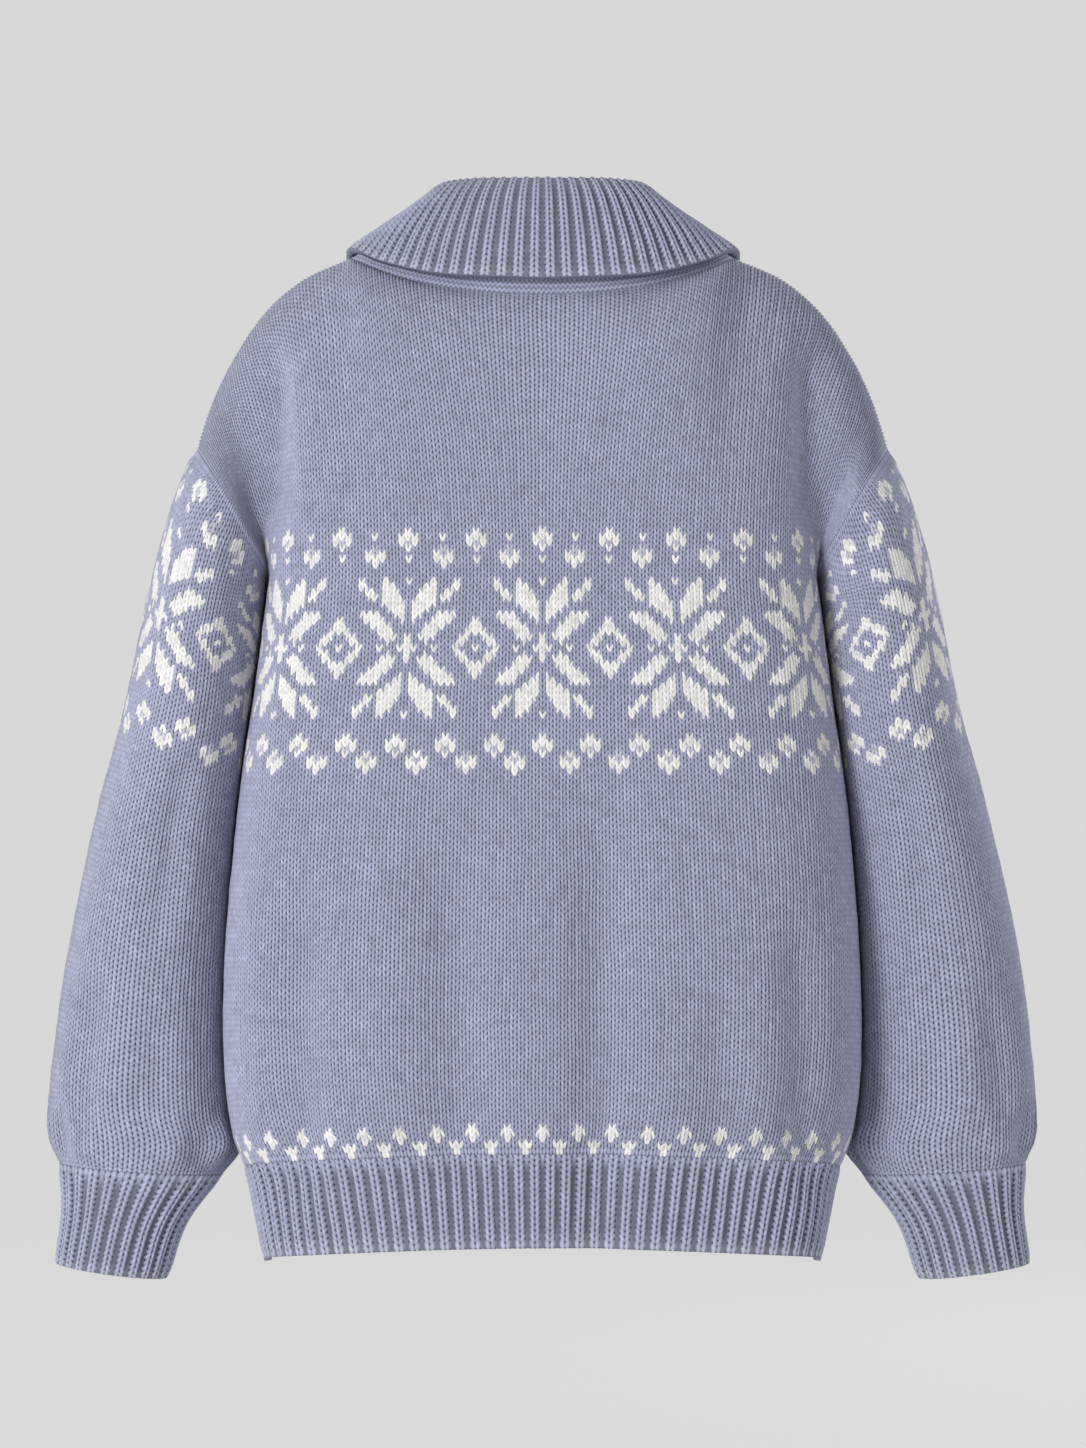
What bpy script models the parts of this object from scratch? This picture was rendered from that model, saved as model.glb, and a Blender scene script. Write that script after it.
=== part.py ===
"""Zip-up cardigan in chunky knit, in its worn shape, hollow, with nobody in it.

Metres, +Z up. The zip faces -Y and the back faces +Y. The origin is the middle of the neck,
level with the back neck seam. Each knitted piece is a wall between an outer and an inner
grid of points, which a small gap parts from its neighbours along the seams.
"""

import math

import bpy
import numpy as np
from mathutils import Matrix
from mathutils.bvhtree import BVHTree

WALL = 0.0035
RIB_HEIGHT = 0.0024
HEM_RIB = 0.0122
CUFF_RIB = 0.0122
COLLAR_RIB = 0.0108
SEAM_GAP = 0.0003

RIB_TOP = -0.583
HEM_BOTTOM = -0.646
UNDERARM = -0.200
SIDE_DROP = 0.0175
NECK_SHARE = 0.45

UPRIGHT = np.array([0.0, 0.0, 1.0])
BORDER_SORT = np.array([0.3, 0.5, 0.8])
BACK, FRONT = 1, -1
LEFT, RIGHT = -1, 1

NECK_COLUMNS = 5
SHOULDER_COLUMNS = 8
LOWER_ROWS = 10
UPPER_ROWS = 9
HEM_ROWS = 2
SLEEVE_ROWS = 14

# Level sections of the body, hem to underarm:
# height, half width, depth of the back, depth of the front, squareness
BODY = [
    (-0.650, 0.187, 0.100, 0.100, 2.80),
    (-0.618, 0.193, 0.105, 0.106, 2.80),
    (-0.583, 0.201, 0.111, 0.113, 2.85),
    (-0.568, 0.207, 0.115, 0.118, 2.90),
    (-0.540, 0.2125, 0.118, 0.121, 2.95),
    (-0.505, 0.2150, 0.117, 0.121, 3.00),
    (-0.452, 0.2140, 0.114, 0.118, 3.15),
    (-0.391, 0.2090, 0.111, 0.114, 3.30),
    (-0.333, 0.2025, 0.109, 0.110, 3.45),
    (-0.275, 0.194, 0.108, 0.107, 3.55),
    (-0.200, 0.184, 0.108, 0.104, 3.55),
]

# The shoulder seam from the neck to the dropped tip: x, y, z
SHOULDER = [
    (0.131, 0.004, 0.017),
    (0.162, 0.004, 0.003),
    (0.187, 0.005, -0.018),
    (0.208, 0.008, -0.049),
    (0.223, 0.012, -0.080),
    (0.234, 0.015, -0.113),
]

# The neckline's middle, at the back and at the front: y, z
NECK_MIDDLE = {BACK: (0.066, -0.011), FRONT: (-0.074, -0.058)}

# How each wale leaves the underarm level and comes up to the top edge, y counted outwards:
# share of the half width, lift x, y, z, then drop x, y, z
GUIDES = {
    BACK: [
        (0.00, 0.000, -0.002, 0.075, 0.000, 0.028, -0.055),
        (0.45, 0.002, -0.001, 0.110, 0.000, 0.071, -0.009),
        (0.70, 0.000, 0.007, 0.080, -0.001, 0.057, -0.014),
        (0.85, -0.002, 0.032, 0.035, -0.002, 0.053, -0.023),
        (1.00, 0.000, 0.085, 0.015, -0.013, 0.080, -0.015),
    ],
    FRONT: [
        (0.00, 0.000, 0.001, 0.050, 0.000, 0.021, -0.040),
        (0.45, 0.002, -0.001, 0.100, 0.000, 0.078, -0.008),
        (0.70, 0.000, 0.007, 0.075, -0.001, 0.066, -0.014),
        (0.85, -0.002, 0.032, 0.035, -0.002, 0.068, -0.023),
        (1.00, 0.000, 0.085, 0.015, -0.013, 0.105, -0.012),
    ],
}

# Hanging folds of the body: side, x and z of the top, x and z of the foot, depth, width
BODY_FOLDS = [
    (BACK, 0.182, -0.030, 0.183, -0.185, 0.012, 0.014),
    (BACK, -0.182, -0.030, -0.183, -0.185, 0.012, 0.014),
    (BACK, 0.062, -0.340, 0.050, -0.640, 0.010, 0.022),
    (BACK, -0.042, -0.300, -0.036, -0.690, 0.011, 0.020),
    (BACK, 0.158, -0.380, 0.166, -0.650, 0.009, 0.018),
    (BACK, -0.118, -0.440, -0.122, -0.640, 0.005, 0.018),
    (BACK, 0.104, -0.330, 0.100, -0.620, -0.004, 0.020),
    (BACK, -0.170, -0.400, -0.180, -0.640, 0.007, 0.016),
    (FRONT, 0.182, -0.030, 0.183, -0.185, 0.012, 0.014),
    (FRONT, -0.182, -0.030, -0.183, -0.185, 0.012, 0.014),
    (FRONT, 0.076, -0.330, 0.070, -0.660, 0.009, 0.021),
    (FRONT, -0.070, -0.360, -0.064, -0.640, 0.008, 0.020),
    (FRONT, 0.140, -0.360, 0.152, -0.640, 0.010, 0.020),
    (FRONT, -0.134, -0.320, -0.146, -0.660, 0.010, 0.021),
]

# Rings of the left sleeve from the armhole to the cuff, mirrored for the right:
# outer x and z, inner x and z, half depth, how far the arm swings forward
SLEEVE = [
    (0.244, -0.135, 0.1942, -0.216, 0.076, 0.000),
    (0.258, -0.177, 0.1965, -0.234, 0.078, 0.000),
    (0.269, -0.222, 0.1988, -0.256, 0.077, 0.000),
    (0.277, -0.262, 0.2008, -0.292, 0.075, 0.001),
    (0.286, -0.300, 0.2055, -0.330, 0.072, 0.002),
    (0.300, -0.350, 0.2112, -0.378, 0.067, 0.005),
    (0.313, -0.405, 0.2155, -0.431, 0.062, 0.008),
    (0.324, -0.460, 0.2178, -0.484, 0.058, 0.012),
    (0.332, -0.512, 0.2178, -0.533, 0.056, 0.015),
    (0.336, -0.552, 0.2152, -0.566, 0.055, 0.018),
    (0.334, -0.580, 0.2110, -0.588, 0.053, 0.020),
    (0.329, -0.598, 0.2190, -0.605, 0.047, 0.021),
]

# The cuff, top and bottom, in the same columns
CUFF = [
    (0.329, -0.598, 0.2190, -0.605, 0.047, 0.021),
    (0.327, -0.628, 0.2430, -0.636, 0.039, 0.023),
    (0.332, -0.667, 0.2580, -0.677, 0.036, 0.026),
]

# Folds of a sleeve, in the columns of BODY_FOLDS, x counted outwards
SLEEVE_FOLDS = [
    (BACK, 0.236, -0.300, 0.262, -0.455, 0.006, 0.012),
    (BACK, 0.300, -0.455, 0.318, -0.610, 0.006, 0.013),
    (BACK, 0.252, -0.500, 0.250, -0.620, 0.006, 0.012),
    (FRONT, 0.240, -0.260, 0.280, -0.400, 0.007, 0.013),
    (FRONT, 0.262, -0.430, 0.300, -0.560, 0.006, 0.013),
]
CUFF_GATHER = 0.0022

# Folded collar from the middle of the back to the front end:
# share of the way, fold x, y, z, then lower edge x, y, z
COLLAR = [
    (0.00, 0.000, 0.050, 0.064, 0.000, 0.082, -0.001),
    (0.20, 0.044, 0.042, 0.064, 0.072, 0.072, 0.003),
    (0.38, 0.066, 0.016, 0.062, 0.116, 0.037, 0.015),
    (0.50, 0.070, -0.010, 0.056, 0.131, -0.002, 0.020),
    (0.66, 0.062, -0.044, 0.030, 0.128, -0.064, -0.006),
    (0.83, 0.042, -0.068, -0.004, 0.103, -0.106, -0.058),
    (1.00, 0.014, -0.081, -0.034, 0.054, -0.112, -0.116),
]
COLLAR_CLEAR = 0.0070
ROLL_CLEAR = 0.0035
LIFT_SPREAD = 7
COLLAR_LAYERS = 0.0088
COLLAR_CROWN = 0.0040
COLLAR_ROLL = 0.0040

ZIP_HALF = 0.0070
TAPE_GAP = 0.0004
TAPE_WALL = 0.0010
TAPE_INSIDE = 0.0033
TAPE_OUTSIDE = 0.0170
TAPE_SHORT = 0.0040
CHAIN_HALF = 0.0030
CHAIN_WALL = 0.0026
BOX_HEIGHT = 0.0110
BOX_WALL = 0.0034

SLIDER_BELOW_END = 0.0125
SLIDER_LENGTH = 0.0145
SLIDER_WIDTH = 0.0090
SLIDER_MOUTH = 0.0019
PLATE_WALL = 0.0013
POST_WIDTH = 0.0022
POST_LENGTH = 0.0050
BRIDGE_WIDTH = 0.0024
BRIDGE_LENGTH = 0.0080
BRIDGE_HEIGHT = 0.0031
BRIDGE_WALL = 0.0010
BRIDGE_UP = 0.0012
AXLE_RADIUS = 0.0006
AXLE_UP = 0.0011
PULL_WIDTH = 0.0075
PULL_LENGTH = 0.0280
PULL_WALL = 0.0012
EYE_WIDTH = 0.0044
EYE_LENGTH = 0.0060

KNIT = (0.300, 0.325, 0.430, 1.0)
RIB_YARN = (0.290, 0.312, 0.412, 1.0)
TAPE_CLOTH = (0.230, 0.250, 0.340, 1.0)
ZIP_METAL = (0.560, 0.560, 0.570, 1.0)


def clear_scene():
    for thing in list(bpy.data.objects):
        bpy.data.objects.remove(thing, do_unlink=True)


def finish(name, colour, roughness, metallic=0.0):
    """A plain finish for one kind of piece."""
    made = bpy.data.materials.new(name)
    made.use_nodes = True
    shader = made.node_tree.nodes["Principled BSDF"]
    shader.inputs["Base Color"].default_value = colour
    shader.inputs["Roughness"].default_value = roughness
    shader.inputs["Metallic"].default_value = metallic
    return made


def smooth(table, at):
    """Rows read off smooth curves through a table, whose first column rises."""
    rows = np.array(table, float)
    keys, values = rows[:, 0], rows[:, 1:]
    slopes = np.gradient(values, keys, axis=0)
    at = np.clip(np.atleast_1d(at), keys[0], keys[-1])
    first = np.clip(np.searchsorted(keys, at, side="right") - 1, 0, len(keys) - 2)
    step = (keys[first + 1] - keys[first])[:, None]
    t = (at - keys[first])[:, None] / step
    low, high = values[first], values[first + 1]
    rise, leave = slopes[first] * step, slopes[first + 1] * step
    ends = (1 + 2 * t) * (1 - t) ** 2 * low + t**2 * (3 - 2 * t) * high
    return ends + t * (1 - t) ** 2 * rise - t**2 * (1 - t) * leave


def step_up(value, low, high):
    """0 below low, 1 above high and smooth between them."""
    t = np.clip((value - low) / (high - low), 0, 1)
    return t * t * (3 - 2 * t)


def quarter(half_width, depth, squareness, shares):
    """Points of a quarter of a rounded section, from the middle to the side."""
    turn = np.linspace(0, math.pi / 2, 181)
    x = half_width * np.sin(turn) ** (2 / squareness)
    y = depth * np.cos(turn).clip(0) ** (2 / squareness)
    run = np.concatenate(([0], np.cumsum(np.hypot(np.diff(x), np.diff(y)))))
    shares = np.abs(shares) * run[-1]
    return np.interp(shares, run, x), np.interp(shares, run, y)


def level(side, across, height):
    """One level course of the body, back or front."""
    half_width, back, front, squareness = smooth(BODY, height)[0]
    depth = back if side == BACK else front
    x, y = quarter(half_width, depth, squareness, across)
    drop = SIDE_DROP * across**2 * step_up(-height, 0.30, 0.60)
    return np.stack([np.sign(across) * x, side * y, height - drop], 1)


def neck_line(side, share):
    """The neckline from its middle, where share is 0, to the end of the shoulder seam."""
    width, end_y, end_z = SHOULDER[0]
    middle_y, middle_z = NECK_MIDDLE[side]
    across = share * (1.25 - 0.25 * share**2)
    bend = np.sqrt((1 - across**2).clip(0))
    y = end_y + (middle_y - end_y) * bend
    z = end_z + (middle_z - end_z) * (1 - share**2) ** 1.2
    return np.stack([width * across, y, z], 1)


def top_edge(side, across):
    """The top of a panel: half of the neckline, then the shoulder seam."""
    share = np.abs(across)
    seam = np.array(SHOULDER)
    run = np.concatenate(([0], np.cumsum(np.linalg.norm(np.diff(seam, axis=0), axis=1))))
    along = ((share - NECK_SHARE) / (1 - NECK_SHARE)).clip(0, 1) * run[-1]
    shoulder = smooth(np.column_stack([run, seam]), along)
    neck = neck_line(side, (share / NECK_SHARE).clip(0, 1))
    points = np.where((share <= NECK_SHARE)[:, None], neck, shoulder)
    points[:, 0] *= np.sign(across)
    return points


def rise(side, across, up):
    """The upper courses, which bend from the underarm level over to the top edge."""
    guide = smooth(GUIDES[side], np.abs(across))
    turn = np.stack([np.sign(across), np.full_like(across, side), np.ones_like(across)], 1)
    start, end = level(side, across, UNDERARM), top_edge(side, across)
    leave, arrive = start + guide[:, :3] * turn, end + guide[:, 3:] * turn
    w = np.asarray(up)[:, None, None]
    return (
        (1 - w) ** 3 * start
        + 3 * w * (1 - w) ** 2 * leave
        + 3 * w**2 * (1 - w) * arrive
        + w**3 * end
    )


def across_shares():
    """Where the columns of half a panel lie, from the middle to the edge."""
    neck = np.linspace(0, NECK_SHARE, NECK_COLUMNS + 1)
    shoulder = np.linspace(NECK_SHARE, 1, SHOULDER_COLUMNS + 1)
    return np.concatenate([neck, shoulder[1:]])


def facings(grid, facing, closed=False):
    """Area-weighted normals of a grid's cells, added up at its points."""
    points = np.concatenate([grid, grid[:, :1]], 1) if closed else grid
    one = points[1:, 1:] - points[:-1, :-1]
    two = points[1:, :-1] - points[:-1, 1:]
    cells = np.cross(two, one) * facing
    total = np.zeros_like(points)
    for rows in (slice(0, -1), slice(1, None)):
        for columns in (slice(0, -1), slice(1, None)):
            total[rows, columns] += cells
    if closed:
        total[:, 0] += total[:, -1]
        total = total[:, :-1]
    return total


def unit(vectors):
    length = np.linalg.norm(vectors, axis=-1, keepdims=True)
    return vectors / np.maximum(length, 1e-12)


def pressed(grid, facing, folds, closed=False, mirror=1):
    """The grid with its folds: each sinks along a line, deepest at the middle of its length.
    The body's folds sink level, so that a panel and its rib agree."""
    normal = facings(grid, facing, closed)
    if not closed:
        normal[..., 2] = 0
    normal = unit(normal)
    depth = np.zeros(grid.shape[:2])
    for side, top_x, top_z, foot_x, foot_z, deep, wide in folds:
        line = np.array([(foot_x - top_x) * mirror, foot_z - top_z])
        away = grid[..., [0, 2]] - np.array([top_x * mirror, top_z])
        along = (away @ line) / (line @ line)
        off = away - along[..., None] * line
        reach = np.exp(-((off**2).sum(-1)) / wide**2)
        ends = step_up(along, 0.0, 0.3) * step_up(1 - along, 0.0, 0.3)
        facing_it = step_up(side * grid[..., 1], 0.0, 0.022)
        depth += deep * reach * ends * facing_it
    return grid - normal * depth[..., None]


def shared_normals(pieces):
    """Unit normals of all the pieces as one cloth, so that two of them agree along a seam."""
    totals = {}
    sums = []
    for grid, facing, closed in pieces:
        found = facings(grid, facing, closed)
        sums.append(found)
        for point, normal in zip(grid.reshape(-1, 3), found.reshape(-1, 3)):
            key = tuple(np.round(point, 6))
            totals[key] = totals.get(key, 0) + normal
    shared = []
    for grid, _, _ in pieces:
        joined = [totals[tuple(np.round(point, 6))] for point in grid.reshape(-1, 3)]
        shared.append(unit(np.array(joined).reshape(grid.shape)))
    return shared


def parted(grid, closed=False):
    """The grid with its borders drawn in by half of the seam's gap."""
    moved = grid.copy()
    half = SEAM_GAP / 2
    moved[0] += half * unit(grid[1] - grid[0])
    moved[-1] += half * unit(grid[-2] - grid[-1])
    if not closed:
        moved[:, 0] += half * unit(grid[:, 1] - grid[:, 0])
        moved[:, -1] += half * unit(grid[:, -2] - grid[:, -1])
    return moved


def cell(points, a, b, c, d):
    """Two triangles of a cell, a and b below c and d, cut along the diagonal that climbs
    towards the middle of the garment, so that its two sides mirror each other."""
    if abs(points[b][0]) < abs(points[a][0]):
        return [(a, b, d), (a, d, c)]
    return [(a, b, c), (b, d, c)]


def border(points, a, b, behind):
    """Two triangles of a wall's end face between outer points a and b, cut alike on both
    sides of a seam."""
    sort_a, sort_b = (np.abs(points[k] * [1, 0, 0]) + points[k] * [0, 1, 1] for k in (a, b))
    if sort_a @ BORDER_SORT > sort_b @ BORDER_SORT:
        return [(a, a + behind, b + behind), (a, b + behind, b)]
    return [(a, a + behind, b), (b, a + behind, b + behind)]


def wall(name, outer, inner, facing, look, closed=False):
    """A closed wall between two grids of the same size, made a named object."""
    rows, columns = outer.shape[:2]
    points = np.concatenate([outer.reshape(-1, 3), inner.reshape(-1, 3)])
    behind = rows * columns
    spans = columns if closed else columns - 1
    faces = []
    for row in range(rows - 1):
        for column in range(spans):
            right = (column + 1) % columns
            a, b = row * columns + column, row * columns + right
            found = cell(points, a, b, a + columns, b + columns)
            faces += found
            faces += [tuple(corner + behind for corner in face[::-1]) for face in found]
    last = (rows - 1) * columns
    for column in range(spans):
        right = (column + 1) % columns
        faces += border(points, column, right, behind)
        faces += border(points, last + right, last + column, behind)
    if not closed:
        for row in range(rows - 1):
            a, c = row * columns, (row + 1) * columns
            faces += border(points, c, a, behind)
            faces += border(points, a + columns - 1, c + columns - 1, behind)
    if facing > 0:
        faces = [face[::-1] for face in faces]
    mesh = bpy.data.meshes.new(name)
    mesh.from_pydata([tuple(point) for point in points], [], faces)
    mesh.update()
    mesh.materials.append(look)
    mesh.shade_smooth()
    mesh.set_sharp_from_angle(angle=math.radians(50))
    piece = bpy.data.objects.new(name, mesh)
    GARMENT.objects.link(piece)
    return piece


def body_grid(side, across):
    """A panel's outer face from the rib to the top edge."""
    heights = np.linspace(RIB_TOP, UNDERARM, LOWER_ROWS + 1)[:-1]
    lower = np.stack([level(side, across, height) for height in heights])
    upper = rise(side, across, np.linspace(0, 1, UPPER_ROWS + 1))
    return np.concatenate([lower, upper])


def sleeve_ring(row, count, mirror):
    """One ring of a sleeve, from its inner point round by the back to its outer point."""
    outer_x, outer_z, inner_x, inner_z, depth, forward = row
    outer = np.array([outer_x * mirror, -forward, outer_z])
    inner = np.array([inner_x * mirror, -forward, inner_z])
    turn = 2 * math.pi * np.arange(count) / count
    reach = (outer - inner) / 2
    ring = (outer + inner) / 2 - np.cos(turn)[:, None] * reach
    ring[:, 1] += depth * np.sin(turn)
    return ring


def ring_axis(row, mirror):
    """The direction square to a sleeve's ring."""
    outer_x, outer_z, inner_x, inner_z = row[:4]
    return unit(np.array([inner_z - outer_z, 0.0, (outer_x - inner_x)]) * [mirror, 1, 1])


def sleeve_grid(armhole, mirror):
    """A sleeve's outer face from the armhole's own points to the cuff."""
    count = len(armhole)
    rings = [armhole] + [sleeve_ring(row, count, mirror) for row in SLEEVE]
    rings = np.array(rings)
    middles = rings.mean(1)
    run = np.concatenate(([0], np.cumsum(np.linalg.norm(np.diff(middles, axis=0), axis=1))))
    table = np.column_stack([run, rings.reshape(len(rings), -1)])
    even = np.linspace(0, run[-1], SLEEVE_ROWS + 1)
    grid = smooth(table, even).reshape(SLEEVE_ROWS + 1, count, 3)
    gather = np.where(np.arange(count) % 2, CUFF_GATHER, -CUFF_GATHER)
    for row, share in ((-2, 1.0), (-3, 0.5)):
        grid[row] += gather[:, None] * share * unit(grid[row] - grid[row].mean(0))
    return grid


def flat_ends(normal, axis, rows):
    """Normals of the end rows laid square to an axis, so that the end faces are flat."""
    for row in rows:
        normal[row] -= (normal[row] @ axis)[:, None] * axis
    return unit(normal)


def ribbed(grid, normal):
    """The outer and inner faces of a ribbed wall whose plain outer face is the grid. Of every
    three columns of points the first lies in a groove and the other two on a rib."""
    high = np.where(np.arange(grid.shape[1]) % 3, RIB_HEIGHT, 0.0)
    return grid + normal * high[None, :, None], grid - normal * WALL


def rib_columns(length, pitch):
    """How many columns of points a rib band has."""
    return 3 * round(length / pitch)


def hem_grid(side, first, last):
    """The plain outer face of a length of hem between two shares of the half width."""
    heights = np.linspace(HEM_BOTTOM, RIB_TOP, HEM_ROWS + 1)
    probe = level(side, np.linspace(first, last, 61), heights[1])
    length = np.linalg.norm(np.diff(probe, axis=0), axis=1).sum()
    across = np.linspace(first, last, rib_columns(length, HEM_RIB) + 1)
    grid = np.stack([level(side, across, height) for height in heights])
    return pressed(grid, side, BODY_FOLDS)


def build_panels():
    """Back, fronts and sleeves, as outer grids that meet exactly along their seams."""
    half = across_shares()
    full = np.concatenate([-half[:0:-1], half])
    back = pressed(body_grid(BACK, full), 1, BODY_FOLDS)
    front = pressed(body_grid(FRONT, full), -1, BODY_FOLDS)
    back[-1], front[-1] = top_edge(BACK, full), top_edge(FRONT, full)
    middle = len(half) - 1
    fronts = {LEFT: front[:, : middle + 1].copy(), RIGHT: front[:, middle:].copy()}
    fronts[LEFT][:, -1, 0] = -ZIP_HALF
    fronts[RIGHT][:, 0, 0] = ZIP_HALF
    sleeves = {}
    for side, column in ((LEFT, 0), (RIGHT, -1)):
        up_the_back = back[LOWER_ROWS:, column]
        down_the_front = front[LOWER_ROWS + 1 : -1, column][::-1]
        armhole = np.concatenate([up_the_back, down_the_front])
        grid = sleeve_grid(armhole, side)
        grid = pressed(grid, -side, SLEEVE_FOLDS, True, side)
        sleeves[side] = grid
    return back, fronts, sleeves


def add_panels(back, fronts, sleeves, look):
    """Makes the knitted panels and sleeves, and returns their outer and inner grids."""
    pieces = [
        ("back_panel", back, 1, None),
        ("front_right", fronts[RIGHT], -1, None),
        ("front_left", fronts[LEFT], -1, None),
        ("sleeve_right", sleeves[RIGHT], -1, RIGHT),
        ("sleeve_left", sleeves[LEFT], 1, LEFT),
    ]
    shared = shared_normals([(grid, facing, bool(arm)) for _, grid, facing, arm in pieces])
    made = {}
    for (name, grid, facing, arm), normal in zip(pieces, shared):
        if arm:
            normal = flat_ends(normal, ring_axis(SLEEVE[-1], arm), [-1])
        else:
            normal = flat_ends(normal, UPRIGHT, [0])
        outer = parted(grid, bool(arm))
        inner = outer - normal * WALL
        wall(name, outer, inner, facing, look, bool(arm))
        made[name] = outer, inner
    return made


def add_hem(look):
    """Makes the hem's three lengths, and returns their outer and inner grids."""
    zip_share = ZIP_HALF / sum(np.ptp(level(FRONT, np.array([0.0, 1.0]), RIB_TOP), axis=0)[:2])
    lengths = [
        ("hem_back", BACK, -1.0, 1.0),
        ("hem_front_left", FRONT, -1.0, -zip_share),
        ("hem_front_right", FRONT, zip_share, 1.0),
    ]
    made = {}
    for name, side, first, last in lengths:
        grid = hem_grid(side, first, last)
        if last < 0:
            grid[:, -1, 0] = -ZIP_HALF
        elif first > 0:
            grid[:, 0, 0] = ZIP_HALF
        normal = flat_ends(unit(facings(grid, side)), UPRIGHT, range(len(grid)))
        outer, inner = ribbed(grid, normal)
        made[name] = parted(outer), parted(inner)
        wall(name, *made[name], side, look)
    return made


def add_cuffs(look):
    for side, name in ((RIGHT, "cuff_right"), (LEFT, "cuff_left")):
        outer_x, outer_z, inner_x, inner_z, depth, _ = CUFF[1]
        half = math.hypot(outer_x - inner_x, outer_z - inner_z) / 2
        count = rib_columns(math.pi * (half + depth), CUFF_RIB)
        grid = np.array([sleeve_ring(row, count, side) for row in CUFF])
        normal = unit(facings(grid, -side, True))
        normal = flat_ends(normal, ring_axis(CUFF[0], side), [0])
        normal = flat_ends(normal, ring_axis(CUFF[-1], side), [-1])
        outer, inner = ribbed(grid, normal)
        wall(name, parted(outer, True), parted(inner, True), -side, look, True)


def neckline(panels, face):
    """The neckline's points on one face of the panels, from the middle of the back to the zip,
    and the way the cloth runs out of it."""
    back, front = panels["back_panel"][face], panels["front_right"][face]
    middle = back.shape[1] // 2
    line = np.concatenate(
        [back[:, middle : middle + NECK_COLUMNS + 1], front[:, NECK_COLUMNS::-1]], axis=1
    )
    return line[-1], unit(line[-1] - line[-2])


def spread(line, run, shares):
    """Points at shares of the way along half of the neckline, on its right and its left."""
    at = np.abs(shares) * run[-1]
    points = np.stack([np.interp(at, run, line[:, axis]) for axis in range(3)], 1)
    points[:, 0] *= np.sign(shares)
    return points


def lifted(points, surface, clear):
    """The points moved off a surface where they lie nearer to it than they should, and their
    neighbours a little with them."""
    moved = points.copy()
    reach = np.hanning(2 * LIFT_SPREAD + 1)
    for _ in range(3):
        shift = np.zeros_like(moved)
        for number, point in enumerate(moved):
            found, normal, _, far = surface.find_nearest(tuple(point))
            away = point - np.array(found)
            height = far if away @ np.array(normal) > 0 else -far
            shift[number] = np.array(normal) * max(0.0, clear - height)
        spread_out = np.pad(shift, ((LIFT_SPREAD, LIFT_SPREAD), (0, 0)), "edge")
        for axis in range(3):
            moved[:, axis] += np.convolve(spread_out[:, axis], reach / reach.sum(), "valid")
    return moved


def outer_surface(grids):
    """The outer faces of the panels as one surface to measure from."""
    points, faces = [], []
    for grid, facing in grids:
        rows, columns = grid.shape[:2]
        start = len(points)
        points += [tuple(point) for point in grid.reshape(-1, 3)]
        for row in range(rows - 1):
            for column in range(columns - 1):
                a = start + row * columns + column
                face = (a, a + 1, a + columns + 1, a + columns)
                faces.append(face[::-facing])
    return BVHTree.FromPolygons(points, faces)


def add_collar(panels, look):
    """The ribbed collar: a stand on the neckline, a fold and a fall, in one piece."""
    outside, way = neckline(panels, 0)
    inside, _ = neckline(panels, 1)
    run = np.concatenate(([0], np.cumsum(np.linalg.norm(np.diff(outside, axis=0), axis=1))))
    count = rib_columns(2 * run[-1], COLLAR_RIB)
    shares = np.linspace(-1, 1, count + 1)
    foot = spread(inside + way * SEAM_GAP, run, shares)
    foot_back = spread(outside + way * SEAM_GAP, run, shares)
    foot[0, 0], foot[-1, 0] = -ZIP_HALF, ZIP_HALF
    rows = smooth(COLLAR, np.abs(shares))
    fold, edge = rows[:, :3], rows[:, 3:]
    fold[:, 0] *= np.sign(shares)
    edge[:, 0] *= np.sign(shares)
    flat = np.array([1.0, 1.0, 0.0])
    outward = unit(((edge - foot) + (foot - foot.mean(0))) * flat)
    crown = fold + UPRIGHT * COLLAR_CROWN + outward * COLLAR_LAYERS / 2
    fall = fold + outward * COLLAR_LAYERS
    roll = (fall + edge) / 2 + outward * COLLAR_ROLL
    body = outer_surface(
        [
            (panels["back_panel"][0], 1),
            (panels["front_left"][0], -1),
            (panels["front_right"][0], -1),
        ]
    )
    roll = lifted(roll, body, COLLAR_CLEAR + ROLL_CLEAR)
    edge = lifted(edge, body, COLLAR_CLEAR)
    grid = np.array([foot, fold, crown, fall, roll, edge])
    normal = unit(facings(grid, -1))
    raised = np.array([0.0, 0.4, 1.0, 1.0, 1.0, 1.0])[:, None, None]
    high = np.where(np.arange(count + 1) % 3, RIB_HEIGHT, 0.0)[None, :, None]
    inner = grid - normal * WALL
    inner[0] = foot_back
    wall("collar", grid + normal * high * raised, inner, -1, look)


def at_width(row, width):
    """The point of a row of points that lies a width from the middle."""
    order = np.argsort(np.abs(row[:, 0]))
    reach = np.abs(row[order, 0])
    side = np.sign(row[:, 0].sum())
    y, z = (np.interp(width, reach, row[order, axis]) for axis in (1, 2))
    return np.array([side * width, y, z])


def zip_rows(panels, hem, name):
    """Behind one front, row by row from its foot: the inner face's point at the front edge,
    the one under the tape's outer edge, and the way out of the cloth."""
    edges, far, out = [], [], []
    for (outer, inner), rows in (
        (hem["hem_" + name], slice(0, -1)),
        (panels[name], slice(0, None)),
    ):
        for outer_row, inner_row in zip(outer[rows], inner[rows]):
            edges.append(at_width(inner_row, ZIP_HALF))
            far.append(at_width(inner_row, TAPE_OUTSIDE))
            out.append(unit(at_width(outer_row, ZIP_HALF) - edges[-1]))
    edges, far, out = np.array(edges), np.array(far), np.array(out)
    for line in (edges, far):
        line[-1] += unit(line[-2] - line[-1]) * TAPE_SHORT
    return edges, far, out


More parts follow.
